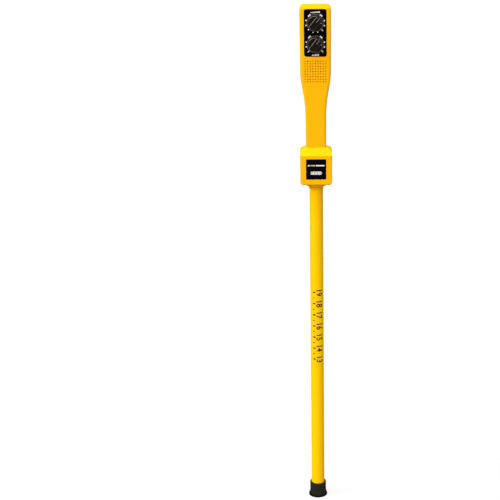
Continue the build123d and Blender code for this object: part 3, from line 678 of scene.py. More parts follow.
def sensor_tube():
    """Long painted tube, open at both ends."""
    bpy.ops.mesh.primitive_cylinder_add(
        vertices=96, radius=tube_radius, depth=tube_high.z - tube_low.z, end_fill_type="NOTHING",
        location=(0, 0, (tube_high.z + tube_low.z) / 2),
    )
    piece = named("painted_sensor_tube")
    apply_modifier(piece, "SOLIDIFY", thickness=tube_wall, offset=-1)
    return smooth(piece)


def rubber_foot():
    """Flared rubber foot with a socket for the tube and ring grooves in its sole."""
    base, top = foot_high.x, foot_high.z
    socket = tube_radius + tube_fit
    rim = socket + 3.5 * mm
    flare_top, flare_bottom = 14 * mm, 2 * mm
    bottom_round, rim_round, mouth_edge = 0.8 * mm, 1 * mm, 0.3 * mm
    groove, depth = 2 * mm, 1.2 * mm
    groove_middles = (base - 10.15 * mm, base - 5.15 * mm)
    reach, drop = base - rim, flare_top - flare_bottom
    flare_radius = (reach ** 2 + drop ** 2) / (2 * reach)
    sweep = math.degrees(math.asin(drop / flare_radius))
    rings = []
    for middle in groove_middles:
        inner, outer = middle - groove / 2, middle + groove / 2
        rings += [(inner, 0), (inner, depth), (outer, depth), (outer, 0)]
    rings += arc((base - bottom_round, bottom_round), bottom_round, -90, 0, 6)
    rings += arc((rim + flare_radius, flare_top), flare_radius, 180 + sweep, 180, 12)
    rings += arc((rim - rim_round, top - rim_round), rim_round, 0, 90, 5)
    rings += [(socket + mouth_edge, top), (socket, top - mouth_edge), (socket, tube_low.z)]
    return smooth(turned("flared_rubber_foot", rings))


# Knobs, panel marks and label marks

def knob_place(name):
    """Where a knob's axis meets the panel's face."""
    return Vector((0, panel_face, middle_of(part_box(name + "_knob")).z))


def facing_front(turn=0.0):
    """Turn that points a piece's Z to the front, after a turn about it, anticlockwise as seen there."""
    return (quarter, -turn, 0)


def pointer_knob(name):
    """Moulded knob: a skirt with a rim and a cone, and a bar across it with rounded ends."""
    rings = [
        (knob_recess_radius, knob_recess_roof),
        (knob_recess_radius, knob_gap),
        (knob_rim_radius - knob_rim_edge, knob_gap),
        (knob_rim_radius, knob_gap + knob_rim_edge),
        (knob_rim_radius, knob_rim_top - knob_rim_edge),
        (knob_rim_radius - knob_rim_edge, knob_rim_top + knob_rim_edge / 2),
    ]
    skirt = (knob_cone_radius - knob_skirt_inset, knob_cone_top - knob_skirt_round)
    rings += arc(skirt, knob_skirt_round, knob_skirt_angle, 90, 6)
    piece = turned(name + "_pointer_knob", rings)
    bar_rings = []
    for height in (knob_recess_roof + knob_rim_edge, knob_top):
        bar_rings.append((knob_cone_radius - math.tan(knob_draft) * (height - knob_rim_top), height))
    bar = turned("bar", bar_rings, sides=72)
    for side in (-1, 1):
        normal = Vector((0, side * math.cos(knob_draft), math.sin(knob_draft)))
        slice_off(bar, (0, side * knob_half_bar, knob_rim_top), normal)
    with editing(bar, everything=True):
        bpy.ops.mesh.remove_doubles(threshold=doubled)
        face_outwards()
    bevel(bar, lying_at(Z, knob_top), knob_edge, 5)
    combine(piece, bar, "UNION")
    slot = block(
        "slot", (pointer_start, -pointer_half, knob_top - pointer_depth),
        (pointer_end + wall, pointer_half, knob_top + wall),
    )
    height = panel_face - middle_of(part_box(name + "_set_screw")).y
    screw_hole = rod("screw_hole", set_screw_hole, (0, 0, height), (0, -knob_cone_radius, height), 24)
    shaft_hole = rod("shaft_hole", shaft_hole_radius, (0, 0, 0), (0, 0, knob_top - shaft_hole_roof), 32)
    cut(piece, slot, screw_hole, shaft_hole)
    with editing(piece, everything=True):
        bpy.ops.mesh.dissolve_degenerate(threshold=speck)
    set_in_place(piece, knob_place(name), facing_front(knob_turn))
    return smooth(piece)


def flat_dot(place, radius=dot_radius):
    """Round flat dot that faces the front, for printed marks and for the painted highlight on each knob."""
    dot = turned("dot", [(radius, -ink), (radius, ink / 2), (radius - ink / 2, ink)], sides=28)
    return set_in_place(dot, place, facing_front())


def painted_glint_dot(name):
    """Pale dot painted on the skirt of a knob, beside its bar: a painted highlight where the skirt catches
    the light.
    """
    dot = flat_dot(knob_place(name) + Vector((painted_glint_place, -knob_cone_top, 0)), painted_glint_radius)
    dot.name = name + "_painted_glint_dot"
    return smooth(dot)


def printed_bar(place, length, width, angle=0.0):
    """Printed bar with slightly rounded ends, its length turned anticlockwise as seen from the front."""
    bar = block("bar", (-length / 2, -width / 2, -ink), (length / 2, width / 2, ink))
    bevel(bar, running_along(Z), min(length, width) / 4, 3)
    return set_in_place(bar, place, facing_front(angle))


def rising_bars(place, count, pitch, width, low, high):
    """A row of upright printed bars on one line, rising from left to right."""
    bars = []
    for step in range(count):
        height = low + (high - low) * step / (count - 1)
        shift = Vector(((step - (count - 1) / 2) * pitch, 0, (height - high) / 2))
        bars.append(printed_bar(place + shift, width, height))
    return bars


def panel_marks():
    """Dial marks round both knobs, with a rising wedge above and rising bars below; the end marks apart."""
    tangents = (51.5, 128.5)
    layouts = {
        "volume": ((14.5, 164.5, 194.5, 224, 256, 285, 344), (314,)),
        "gain": ((14.5, 164.5, 194.5, 344), (225, 315)),
    }
    marks, end_marks = [], []
    for name, (dots, spokes) in layouts.items():
        for degrees in dots + tangents + spokes:
            angle = math.radians(degrees)
            place = knob_place(name) + mark_ring * Vector((math.cos(angle), 0, math.sin(angle)))
            if degrees in dots:
                marks.append(flat_dot(place))
            elif degrees in tangents:
                marks.append(printed_bar(place, bar_length, bar_width, angle + quarter))
            else:
                end_marks.append(printed_bar(place, bar_length, bar_width, angle))
    wedge_place = Vector((0, panel_face, panel_high.z - 5.8 * mm))
    bars_place = Vector((0, panel_face, panel_low.z + 3.8 * mm))
    marks += rising_bars(wedge_place, 8, pitch=2.375 * mm, width=1.71 * mm, low=1.66 * mm, high=3.2 * mm)
    marks += rising_bars(bars_place, 5, pitch=2.975 * mm, width=2.1 * mm, low=2.4 * mm, high=4 * mm)
    return smooth(joined("panel_dial_marks", marks)), smooth(joined("panel_end_marks", end_marks))


def painted_glint_rings():
    """Thin tan ring round each knob, a painted highlight of the glint on the knob's rim."""
    rings = []
    for name in knob_names:
        bpy.ops.mesh.primitive_torus_add(
            major_segments=96, minor_segments=8, major_radius=glint_ring_radius, minor_radius=glint_ring_half
        )
        bpy.context.object.scale.z = glint_ring_height / glint_ring_half
        rings.append(set_in_place(named("ring"), knob_place(name), facing_front()))
    return smooth(joined("painted_glint_rings", rings), angle=60)


def label_marks():
    """Rule in three parts and battery sign on the label plate; the rule's middle part apart."""
    middle = middle_of((plate_low, plate_high)).z
    rule = Vector((0, plate_face, middle + 8.2 * mm))
    rule_width, rule_parts = 2.5 * mm, ((-15.1, 3.8), (-6.6, 10.4), (8.4, 17.0))
    sign = Vector((-0.3 * mm, plate_face, middle - 7.6 * mm))
    length, height, line = 21 * mm, 6.4 * mm, 1.3 * mm
    cell_pitch, cell_length, cell_height = 5.6 * mm, 4.6 * mm, height - 2.7 * line
    tip_place, tip_length, tip_height = length / 2 + 0.8 * mm, 1.4 * mm, 2.8 * mm
    marks = []
    for place, part in rule_parts:
        marks.append(printed_bar(rule + Vector((place * mm, 0, 0)), part * mm, rule_width))
    rule_middle = smooth(joined("label_rule_middle", [marks.pop(1)]))
    for side in (-1, 1):
        marks.append(printed_bar(sign + Vector((0, 0, side * (height - line) / 2)), length, line))
        marks.append(printed_bar(sign + Vector((side * (length - line) / 2, -overprint, 0)), line, height))
    marks.append(printed_bar(sign + Vector((tip_place, 0, 0)), tip_length, tip_height))
    for step in (-1, 0, 1):
        marks.append(printed_bar(sign + Vector((step * cell_pitch, 0, 0)), cell_length, cell_height))
    return smooth(joined("label_marks", marks)), rule_middle


def tube_scale(tube):
    """Dark printed scale in inches above the sole: flat marks laid on to the tube."""
    inch, first, last = 25.4 * mm, 13, 19
    left, before = -8.8 * mm, -2 * tube_radius
    whole_tick, half_tick = (5.4 * mm, 3 * mm), (3.4 * mm, 2.2 * mm)
    number_size, number_middle, number_bold = 17 * mm, 4 * mm, 0.3 * mm
    cuts = range(-10, 13)
    marks = []
    for half in range(2 * first, 2 * last + 1):
        height, whole = half * inch / 2, half % 2 == 0
        length, thick = whole_tick if whole else half_tick
        bpy.ops.mesh.primitive_plane_add(
            size=1, location=(left + length / 2, before, height), rotation=facing_front()
        )
        bpy.context.object.scale = (length, thick, 1)
        marks.append(named("tick"))
        if whole:
            bpy.ops.object.text_add()
            number = bpy.context.object
            number.data.body = str(half // 2)
            number.data.size = number_size
            number.data.offset = number_bold
            number.data.align_x = number.data.align_y = "CENTER"
            bpy.ops.object.convert(target="MESH")
            marks.append(set_in_place(number, (number_middle, before, height), facing_front(-quarter)))
    piece = joined("tube_scale", marks)
    with editing(piece):
        for place in cuts:
            bpy.ops.mesh.select_all(action="SELECT")
            bpy.ops.mesh.bisect(plane_co=(place * mm, 0, 0), plane_no=(1, 0, 0), threshold=near)
        bpy.ops.mesh.select_all(action="SELECT")
        bpy.ops.mesh.remove_doubles(threshold=doubled)
    apply_modifier(
        piece, "SHRINKWRAP", target=tube, wrap_method="PROJECT", use_project_y=True,
        use_positive_direction=True,
    )
    apply_modifier(piece, "SOLIDIFY", thickness=2 * ink, offset=0)
    return smooth(piece)


# Battery bay pieces

def battery_cover():
    """Lift-off cover with a sunk field, rounded edges and two screw holes."""
    edge, screw_hole = 0.7 * mm, 2.2 * mm
    border, corner, sink, slant = 5 * mm, 2 * mm, 0.5 * mm, 0.6 * mm
    piece = rounded_block("lift_off_battery_cover", cover_low, cover_high, Y, cover_corner)
    bevel(piece, lying_at(Y, cover_high.y), edge, 3)
    field_low = Vector((cover_low.x + border, cover_high.y - sink, cover_low.z + 3 * border))
    field_high = Vector((cover_high.x - border, cover_high.y, cover_high.z - 3 * border))
    field = rounded_block("field", field_low, field_high, Y, corner, 6)
    width, height = field_high.x - field_low.x, field_high.z - field_low.z
    with editing(field):
        choose(field, "FACE", lying_at(Y, field_high.y))
        stretch((1 + 2 * slant / width, 1, 1 + 2 * slant / height), (field_low + field_high) / 2)
        extrude((0, wall, 0))
    cut(piece, field)
    for name in cover_screws:
        place = middle_of(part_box(name))
        cut(piece, rod("hole", screw_hole, (0, 0, place.z), (0, 2 * box_rear, place.z)))
    return smooth(piece)


def slotted_screw(name):
    """Coin-slot screw: a low head with a rounded edge, and a plain shank."""
    low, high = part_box(name)
    seat = cover_high.y
    radius, top, end = high.x, high.y - seat, low.y - seat
    shank, point, point_length, room = 1.95 * mm, 0.5 * mm, 0.6 * mm, 0.04 * mm
    edge, under_edge = 0.6 * mm, 0.3 * mm
    slot_half, slot_depth = 0.75 * mm, 1.3 * mm
    rings = [(shank - point, end), (shank, end + point_length), (shank, room)]
    rings += [(radius - under_edge, room), (radius, under_edge)]
    rings += arc((radius - edge, top - edge), edge, 0, 90, 5)
    screw = turned(name + "_slotted", rings, 64)
    slot_low, slot_high = (-2 * radius, -slot_half, top - slot_depth), (2 * radius, slot_half, 2 * wall)
    cut(screw, block("slot", slot_low, slot_high))
    set_in_place(screw, (0, seat, middle_of((low, high)).z), (-quarter, 0, 0))
    return smooth(screw)


def square_drive_screws(name, node):
    """Round-headed case screws with a square drive, one at each place."""
    boxes = solids_of(node)
    low, high = boxes[0]
    radius, shank, edge, under_edge = (high.x - low.x) / 2, 1.45 * mm, 0.7 * mm, 0.2 * mm
    drive, drive_depth = 1.25 * mm, 1.4 * mm
    rings = [(shank, low.y - high.y), (shank, -case_screw_head)]
    rings += [(radius - under_edge, -case_screw_head), (radius, under_edge - case_screw_head)]
    rings += arc((radius - edge, -edge), edge, 0, 90, 4)
    screw = turned("screw", rings, 40)
    cut(screw, block("drive", (-drive, -drive, -drive_depth), (drive, drive, wall)))
    set_in_place(screw, (0, 0, 0), (-quarter, 0, 0))
    screws = []
    for low, high in boxes:
        place = middle_of((low, high))
        screws.append(copied(screw, "screw", (place.x, high.y, place.z)))
    bpy.data.objects.remove(screw)
    return smooth(joined(name, screws))


def upright_block(name, low, high, corner, edge, segments):
    """A block with rounded upright edges and rounded ends."""
    piece = rounded_block(name, low, high, Z, corner, 6)
    bevel(piece, lying_at(Z, low[Z], high[Z]), edge, segments)
    return piece


def block_battery(name, node):
    """Nine-volt block battery: a wrapped can with rolled ends, two studs and polarity signs."""
    low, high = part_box(node)
    stud_height, stud_foot, stud_edge, stud_apart = 2 * mm, 0.5 * mm, 0.5 * mm, 6.35 * mm
    sign_drop, sign_length, sign_width = 6 * mm, 4 * mm, 1.1 * mm
    rolled, sink = 1.6 * mm, 0.45 * mm
    top = high.z - stud_height
    wrap_low, wrap_high = (low.x, low.y, low.z + rolled), (high.x, high.y, top - rolled)
    wrap = upright_block("wrap", wrap_low, wrap_high, corner=2.2 * mm, edge=0.3 * mm, segments=2)
    can_low, can_high = (low.x + sink, low.y + sink, low.z), (high.x - sink, high.y - sink, top)
    can = upright_block(name, can_low, can_high, corner=2 * mm, edge=0.8 * mm, segments=3)
    middle = middle_of((low, high))
    studs, signs = [], []
    for side, radius in ((-1, 3.7 * mm), (1, 2.9 * mm)):
        across = middle.x + side * stud_apart
        rings = [(radius, -stud_foot), (radius, stud_height - stud_edge), (radius - stud_edge, stud_height)]
        studs.append(set_in_place(turned("stud", rings, 32), (across, middle.y, top)))
        place = Vector((across, high.y, top - sign_drop))
        signs.append(printed_bar(place, sign_length, sign_width))
        if side > 0:
            signs.append(printed_bar(place + Vector((0, overprint, 0)), sign_width, sign_length))
    return can, wrap, joined(name + "_studs", studs), joined(name + "_signs", signs)


def foam_pad():
    """Soft pad inside the cover that keeps the batteries still, crowned towards them."""
    low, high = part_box("cover_pad")
    corner = 2 * mm
    crown = ((0.4 * mm, 0.985), (0.2 * mm, 0.96), (0.1 * mm, 0.85))
    piece = rounded_block("cover_foam_pad", low, high, Y, corner, 4)
    with editing(piece):
        choose(piece, "FACE", lying_at(Y, low.y))
        bpy.ops.transform.translate(value=(0, sum(rise for rise, share in crown), 0))
        for rise, share in crown:
            extrude((0, -rise, 0))
            stretch((share, 1, share), (low + high) / 2)
    return smooth(piece, angle=60)


# Finishes

def link_or_set(tree, socket, value):
    """Feed a socket from another one, or set its own value."""
    if isinstance(value, bpy.types.NodeSocket):
        tree.links.new(value, socket)
    elif isinstance(value, tuple) and len(value) == 3 and socket.type == "RGBA":
        socket.default_value = (*value, 1)
    else:
        socket.default_value = value


def add(tree, kind, inputs=None, **settings):
    """Add a shader node with its settings and inputs."""
    made = tree.nodes.new("ShaderNode" + kind)
    for key, value in settings.items():
        setattr(made, key, value)
    for key, value in (inputs or {}).items():
        link_or_set(tree, made.inputs[key], value)
    return made


def reckoned(tree, operation, *values):
    """The result of one sum on values or sockets."""
    return add(tree, "Math", dict(enumerate(values)), operation=operation).outputs[0]


def mixed(tree, share, first, second):
    """One colour passing into another, by a Mix node's colour sockets."""
    share_socket, first_socket, second_socket, result_socket = 0, 6, 7, 2
    inputs = {share_socket: share, first_socket: first, second_socket: second}
    return add(tree, "Mix", inputs, data_type="RGBA").outputs[result_socket]


def ranged(tree, value, low=0.0, high=1.0, start=0.0, end=1.0):
    """A value between a start and an end spread over another range."""
    inputs = {"Value": value, "From Min": start, "From Max": end, "To Min": low, "To Max": high}
    return add(tree, "MapRange", inputs).outputs[0]


def object_place(tree):
    """Place on the piece, in its own coordinates."""
    return add(tree, "TexCoord").outputs["Object"]


def noise(tree, place, scale, detail):
    """Cloudy noise from 0 to 1."""
    return add(tree, "TexNoise", {"Vector": place, "Scale": scale, "Detail": detail}).outputs[0]


def new_group(name, inputs, outputs):
    """An empty node group with named number inputs and mask outputs."""
    tree = bpy.data.node_groups.new(name, "ShaderNodeTree")
    for label, value in inputs.items():
        socket = tree.interface.new_socket(name=label, in_out="INPUT", socket_type="NodeSocketFloat")
        socket.default_value = value
    for label in outputs:
        tree.interface.new_socket(name=label, in_out="OUTPUT", socket_type="NodeSocketFloat")
    return tree, tree.nodes.new("NodeGroupInput").outputs, tree.nodes.new("NodeGroupOutput").inputs


def grain_group():
    """Fine grain for a bump, and slow patches of tone."""
    tree, given, gives = new_group("grain", {"Grain Scale": 2000.0, "Patch Scale": 25.0}, ("Height", "Tone"))
    place = object_place(tree)
    link_or_set(tree, gives["Height"], noise(tree, place, given["Grain Scale"], detail=2.0))
    link_or_set(tree, gives["Tone"], noise(tree, place, given["Patch Scale"], detail=5.0))
    return tree


def scuff_group():
    """Sparse thin scuffs, drawn out along the wand."""
    tree, given, gives = new_group("scuffs", {"Scale": 60.0, "Stretch": 0.08, "Cover": 0.34}, ("Mask",))
    shape = add(tree, "CombineXYZ", {"X": 1.0, "Y": 1.0, "Z": given["Stretch"]}).outputs[0]
    tilt, edge = (0.1, 0.06, 0), 0.06
    mapping = {"Vector": object_place(tree), "Scale": shape, "Rotation": tilt}
    streaks = noise(tree, add(tree, "Mapping", mapping).outputs[0], given["Scale"], detail=6.0)
    end = reckoned(tree, "SUBTRACT", given["Cover"], edge)
    link_or_set(tree, gives["Mask"], ranged(tree, streaks, start=given["Cover"], end=end))
    return tree


def dust_group():
    """Dust that settles on what faces up."""
    tree, given, gives = new_group("dust", {"Scale": 300.0, "Amount": 0.4}, ("Mask",))
    normal = add(tree, "TexCoord").outputs["Normal"]
    up = add(tree, "SeparateXYZ", {"Vector": normal}).outputs["Z"]
    facing = ranged(tree, up, start=0.1)
    clouds = noise(tree, object_place(tree), given["Scale"], detail=4.0)
    patch = reckoned(tree, "MULTIPLY", facing, clouds)
    link_or_set(tree, gives["Mask"], reckoned(tree, "MULTIPLY", patch, given["Amount"]))
    return tree


grain, scuffs, dust = grain_group(), scuff_group(), dust_group()


def new_finish(name, **fixed):
    """A material with its own shader; fixed values go straight on the shader's sockets."""
    material = bpy.data.materials.new(name)
    material.use_nodes = True
    tree = material.node_tree
    sockets = tree.nodes["Principled BSDF"].inputs
    for label, value in fixed.items():
        link_or_set(tree, sockets[label.replace("_", " ")], value)
    return material, tree, sockets


def surface(tree, sockets, mask, colours, rough, strength, depth, height=None):
    """Lead a shader's colour and roughness from a mask, and its bump from a height or the same mask."""
    link_or_set(tree, sockets["Base Color"], mixed(tree, mask, *colours))
    link_or_set(tree, sockets["Roughness"], ranged(tree, mask, *rough))
    relief = mask if height is None else height
    bump = add(tree, "Bump", {"Height": relief, "Strength": strength, "Distance": depth})
    link_or_set(tree, sockets["Normal"], bump.outputs[0])


def grained(name, dark, light, rough, grain_size, depth, patch=40 * mm, strength=0.4, **fixed):
    """A finish with slow patches of tone and roughness and a fine grain."""
    material, tree, sockets = new_finish(name, **fixed)
    scales = {"Grain Scale": 1 / grain_size, "Patch Scale": 1 / patch}
    given = add(tree, "Group", scales, node_tree=grain).outputs
    surface(tree, sockets, given["Tone"], (dark, light), rough, strength, depth, given["Height"])
    return material


def tinted(material, mask, colour):
    """A finish with another colour mixed in by a mask."""
    tree = material.node_tree
    socket = tree.nodes["Principled BSDF"].inputs["Base Color"]
    before = socket.links[0].from_socket
    link_or_set(tree, socket, mixed(tree, mask, before, colour))
    return material


def worn(material, group, colour, **values):
    """A finish with the scuffs or dust of a group."""
    return tinted(material, add(material.node_tree, "Group", values, node_tree=group).outputs["Mask"], colour)


yellow_gloss = {"Specular_IOR_Level": 0.0, "Metallic": 0.08, "Specular_Tint": (1.0, 0.85, 0.4)}


def yellow_plastic():
    """Moulded yellow plastic with a fine spark grain and faint handling marks."""
    plastic = grained(
        "yellow_plastic", yellow_deep, yellow, rough=(0.48, 0.38), grain_size=0.6 * mm, depth=0.12 * mm,
        strength=0.7, **yellow_gloss,
    )
    return worn(plastic, scuffs, (0.86, 0.43, 0.03), Scale=45.0, Stretch=0.3, Cover=0.27)


def tube_paint():
    """Yellow paint on the tube, with orange peel and thin scuffs along it."""
    paint = grained(
        "yellow_tube_paint", tube_deep, tube_yellow, rough=(0.42, 0.3), grain_size=1.6 * mm,
        depth=0.05 * mm, **yellow_gloss,
    )
    return worn(paint, scuffs, (0.88, 0.47, 0.05), Scale=160.0, Stretch=0.05, Cover=0.27)


def black_panel():
    """Near-black printed film with a fine matt texture."""
    return grained(
        "black_panel", (0.0008, 0.001, 0.003), (0.0014, 0.0016, 0.0045), rough=(0.45, 0.36),
        grain_size=0.35 * mm, depth=0.01 * mm, Specular_IOR_Level=0.02,
    )


def black_plastic():
    """Satin black moulded plastic with a light grain and a little dust."""
    plastic = grained(
        "black_plastic", (0.002, 0.0018, 0.001), (0.0035, 0.003, 0.0017), rough=(0.26, 0.17),
        grain_size=0.4 * mm, depth=0.006 * mm, patch=12 * mm,
        Specular_IOR_Level=0.2, Specular_Tint=(1.0, 0.9, 0.72),
    )
    return worn(plastic, dust, (0.3, 0.28, 0.24), Scale=500.0, Amount=0.04)


def handled_black():
    """The knobs' black plastic where fingers have polished its edges."""
    return grained(
        "handled_black", (0.004, 0.0036, 0.0025), (0.007, 0.006, 0.004), rough=(0.24, 0.16),
        grain_size=0.4 * mm, depth=0.004 * mm, patch=12 * mm,
        Specular_IOR_Level=1.0, Specular_Tint=(1.0, 0.92, 0.75),
    )


def black_rubber(name):
    """Matt black rubber with a coarse grain and pale dust on what faces up."""
    rubber = grained(
        name, (0.011, 0.011, 0.008), (0.019, 0.019, 0.014), rough=(0.75, 0.6), grain_size=0.6 * mm,
        depth=0.15 * mm, patch=15 * mm, strength=0.8, Specular_IOR_Level=0.06,
    )
    return worn(rubber, dust, (0.25, 0.22, 0.16), Scale=220.0, Amount=0.05)


def foot_rubber():
    """The foot's rubber, darker towards its bottom edge: painted shade where the foot meets the floor."""
    rubber = black_rubber("foot_rubber")
    tree = rubber.node_tree
    place = object_place(tree)
    height = add(tree, "SeparateXYZ", {"Vector": place}).outputs["Z"]
    uneven, shade_top, full_shade = 4 * mm, 12 * mm, 5 * mm
    ragged = reckoned(tree, "MULTIPLY_ADD", noise(tree, place, scale=160.0, detail=4.0), uneven, height)
    # Painted shade: the rubber darkens towards the bottom edge, over a ragged band.
    return tinted(rubber, ranged(tree, ragged, start=shade_top, end=full_shade), (0.004, 0.003, 0.002))


def ink_and_glint_finish(name, dark, light):
    """Screen-printed ink with a slightly uneven film; the same finish also colours the painted highlights on
    the knobs.
    """
    return grained(
        name, dark, light, rough=(0.55, 0.45), grain_size=0.25 * mm, depth=0.004 * mm, patch=3 * mm,
        Specular_IOR_Level=0.3,
    )


def plain_grained(name, colour, rough, spread=0.25):
    """A grained finish about one colour and roughness."""
    dark, light = (tuple(value * share for value in colour) for share in (1 - spread, 1 + spread))
    around = 0.06
    return grained(
        name, dark, light, rough=(rough + around, rough - around), grain_size=0.4 * mm, depth=0.02 * mm,
        patch=8 * mm,
    )


def brushed_metal(name, dark, light, rough, direction):
    """Metal with fine lines drawn out along one direction."""
    material, tree, sockets = new_finish(name, Metallic=1.0)
    mapping = add(tree, "Mapping", {"Vector": object_place(tree), "Scale": direction})
    lines = noise(tree, mapping.outputs[0], scale=900.0, detail=3.0)
    surface(tree, sockets, lines, (dark, light), rough, strength=0.2, depth=0.01 * mm)
    return material


def wound_copper():
    """Close turns of enamelled copper wire round an upright coil."""
    material, tree, sockets = new_finish("winding_copper", Metallic=1.0)
    wave = {"Vector": object_place(tree), "Scale": 640.0, "Distortion": 0.4}
    turns = add(tree, "TexWave", wave, wave_type="BANDS", bands_direction="Z").outputs["Fac"]
    colours = (0.30, 0.10, 0.03), (0.66, 0.29, 0.11)
    surface(tree, sockets, turns, colours, rough=(0.45, 0.25), strength=0.6, depth=0.1 * mm)
    return material


def open_foam():
    """Grey foam with small open cells."""
    material, tree, sockets = new_finish("foam", Specular_IOR_Level=0.1)
    voronoi = {"Vector": object_place(tree), "Scale": 1400.0}
    cells = add(tree, "TexVoronoi", voronoi).outputs["Distance"]
    colours = (0.02, 0.02, 0.021), (0.075, 0.075, 0.078)
    surface(tree, sockets, cells, colours, rough=(0.85, 0.95), strength=0.8, depth=0.2 * mm)
    return material


def woven_membrane():
    """Dark dust cloth behind the grille, in a plain weave."""
    material, tree, sockets = new_finish("membrane_cloth", Specular_IOR_Level=0.1)
    wave = {"Vector": object_place(tree), "Scale": 500.0}
    threads = [add(tree, "TexWave", wave, bands_direction=way).outputs["Fac"] for way in "XZ"]
    weave = reckoned(tree, "MULTIPLY", *threads)
    colours = (0.03, 0.018, 0.008), (0.07, 0.045, 0.02)
    surface(tree, sockets, weave, colours, rough=(0.8, 0.95), strength=0.7, depth=0.1 * mm)
    return material


finishes = {
    "yellow_plastic": yellow_plastic(),
    "yellow_tube_paint": tube_paint(),
    "black_panel": black_panel(),
    "black_plastic": black_plastic(),
    "pale_inlay": ink_and_glint_finish("pale_inlay", (0.10, 0.09, 0.07), (0.14, 0.13, 0.10)),
    "black_rubber": black_rubber("black_rubber"),
    "membrane_cloth": woven_membrane(),
    "foam": open_foam(),
    "winding_copper": wound_copper(),
}
metals = {
    "brass": ((0.55, 0.37, 0.12), (0.78, 0.58, 0.25), (0.42, 0.28), (1, 8, 1)),
    "stainless_steel": ((0.4, 0.4, 0.4), (0.62, 0.62, 0.6), (0.4, 0.25), (1, 8, 1)),
    "capacitor_can": ((0.42, 0.42, 0.44), (0.6, 0.6, 0.62), (0.4, 0.3), (1, 1, 8)),
    "battery_can": ((0.42, 0.42, 0.43), (0.58, 0.58, 0.58), (0.4, 0.28), (6, 6, 1)),
    "core_alloy": ((0.36, 0.36, 0.38), (0.52, 0.52, 0.54), (0.45, 0.3), (6, 6, 1)),
}
plastics = {
    "board_laminate": ((0.02, 0.14, 0.05), 0.35),
    "chip_plastic": ((0.02, 0.02, 0.022), 0.6),
    "connector_plastic": ((0.7, 0.67, 0.57), 0.45, 0.06),
    "white_plastic": ((0.7, 0.69, 0.65), 0.5, 0.06),
    "lead_insulation": ((0.02, 0.02, 0.02), 0.5),
}
for name, values in metals.items():
    finishes[name] = brushed_metal(name, *values)
for name, values in plastics.items():
    finishes[name] = plain_grained(name, *values)
white_print = ink_and_glint_finish("white_print", ink_white_deep, ink_white)
# Cream ink for the end marks, also used for the painted highlight dot on each knob's skirt.
cream_print_and_glint = ink_and_glint_finish("cream_print_and_glint", (0.4, 0.37, 0.22), (0.48, 0.45, 0.28))
ochre_print = ink_and_glint_finish("ochre_print", (0.54, 0.37, 0.16), (0.62, 0.44, 0.2))
# Tan for the painted highlight rings round the knobs.
glint_ring_tan = ink_and_glint_finish("glint_ring_tan", (0.2, 0.155, 0.09), (0.27, 0.21, 0.13))
navy_print = ink_and_glint_finish("navy_print", (0.0015, 0.0015, 0.008), (0.0025, 0.0025, 0.014))
polished_black = handled_black()
battery_wrap = plain_grained("battery_wrap", (0.03, 0.06, 0.12), 0.35, 0.12)


def coat(piece, material):
    """Give a piece one finish all over."""
    piece.data.materials.clear()
    piece.data.materials.append(material)
    return piece


def polish_edges(knob, material):
    """Give the rounded edges of a knob's front another finish."""
    knob.data.materials.append(material)
    with editing(knob):
        choose(knob, "FACE", lambda face: -polish_end < face.normal.y < -polish_start)
        knob.active_material_index = 1
        bpy.ops.object.material_slot_assign()
    return knob


def place_piece(piece, body, slot, *stood_for):
    """Let a piece ride on its body and hide the CAD nodes that it stands for; its slot is not used."""
    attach(piece, body)
    if stood_for:
        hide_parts(*stood_for)
    return piece


def place_coated(piece, body, slot, *stood_for, finish=None):
    """Coat a piece with its slot's finish, or with another one, and place it."""
    return place_piece(coat(piece, finish or finishes[slot]), body, slot, *stood_for)


# Finishes on the CAD nodes
for part in frame["record"]["subparts"]:
    coat(nodes[part["node"]], finishes[part["material_slot"]])

# Pieces
whole_housing = housing()
place_coated(front_shell(whole_housing), "housing", "yellow_plastic", "front_shell")
place_coated(rear_shell(whole_housing), "housing", "yellow_plastic", "rear_shell")
bpy.data.objects.remove(whole_housing)

tube = place_coated(sensor_tube(), "housing", "yellow_tube_paint", "sensor_tube")
# The foot's finish has painted shade along its bottom edge.
place_coated(rubber_foot(), "housing", "black_rubber", "rubber_foot", finish=foot_rubber())
for name in knob_names:
    body = name + "_knob"
    knob = polish_edges(coat(pointer_knob(name), finishes["black_plastic"]), polished_black)
    place_piece(knob, body, "black_plastic", body)
    # Each knob also gets a pale dot on its skirt: a painted highlight.
    place_coated(painted_glint_dot(name), body, "pale_inlay", finish=cream_print_and_glint)
# The thin tan rings round the knobs are painted highlights; the other flat marks are print.
flat_marks = [*panel_marks(), painted_glint_rings(), *label_marks()]
for marks, mark_finish in zip(flat_marks, (white_print, cream_print_and_glint, glint_ring_tan, white_print, ochre_print)):
    place_coated(marks, "housing", "pale_inlay", finish=mark_finish)
place_coated(tube_scale(tube), "housing", "black_panel", finish=navy_print)

place_coated(battery_cover(), "battery_cover", "yellow_plastic", "battery_cover")
for name in cover_screws:
    place_coated(slotted_screw(name), name, "stainless_steel", name)
for name in ("shell_screws", "box_screws"):
    place_coated(square_drive_screws("square_drive_" + name, name), "housing", "stainless_steel", name)
battery_coats = (finishes["battery_can"], battery_wrap, finishes["battery_can"], white_print)
for name in ("left_battery", "right_battery"):
    parts = block_battery(name + "_block", name)
    for part, material in zip(parts, battery_coats):
        coat(part, material)
    place_piece(smooth(joined(name + "_block", parts)), "housing", "battery_can", name)
pad = place_coated(foam_pad(), "battery_cover", "foam", "cover_pad")


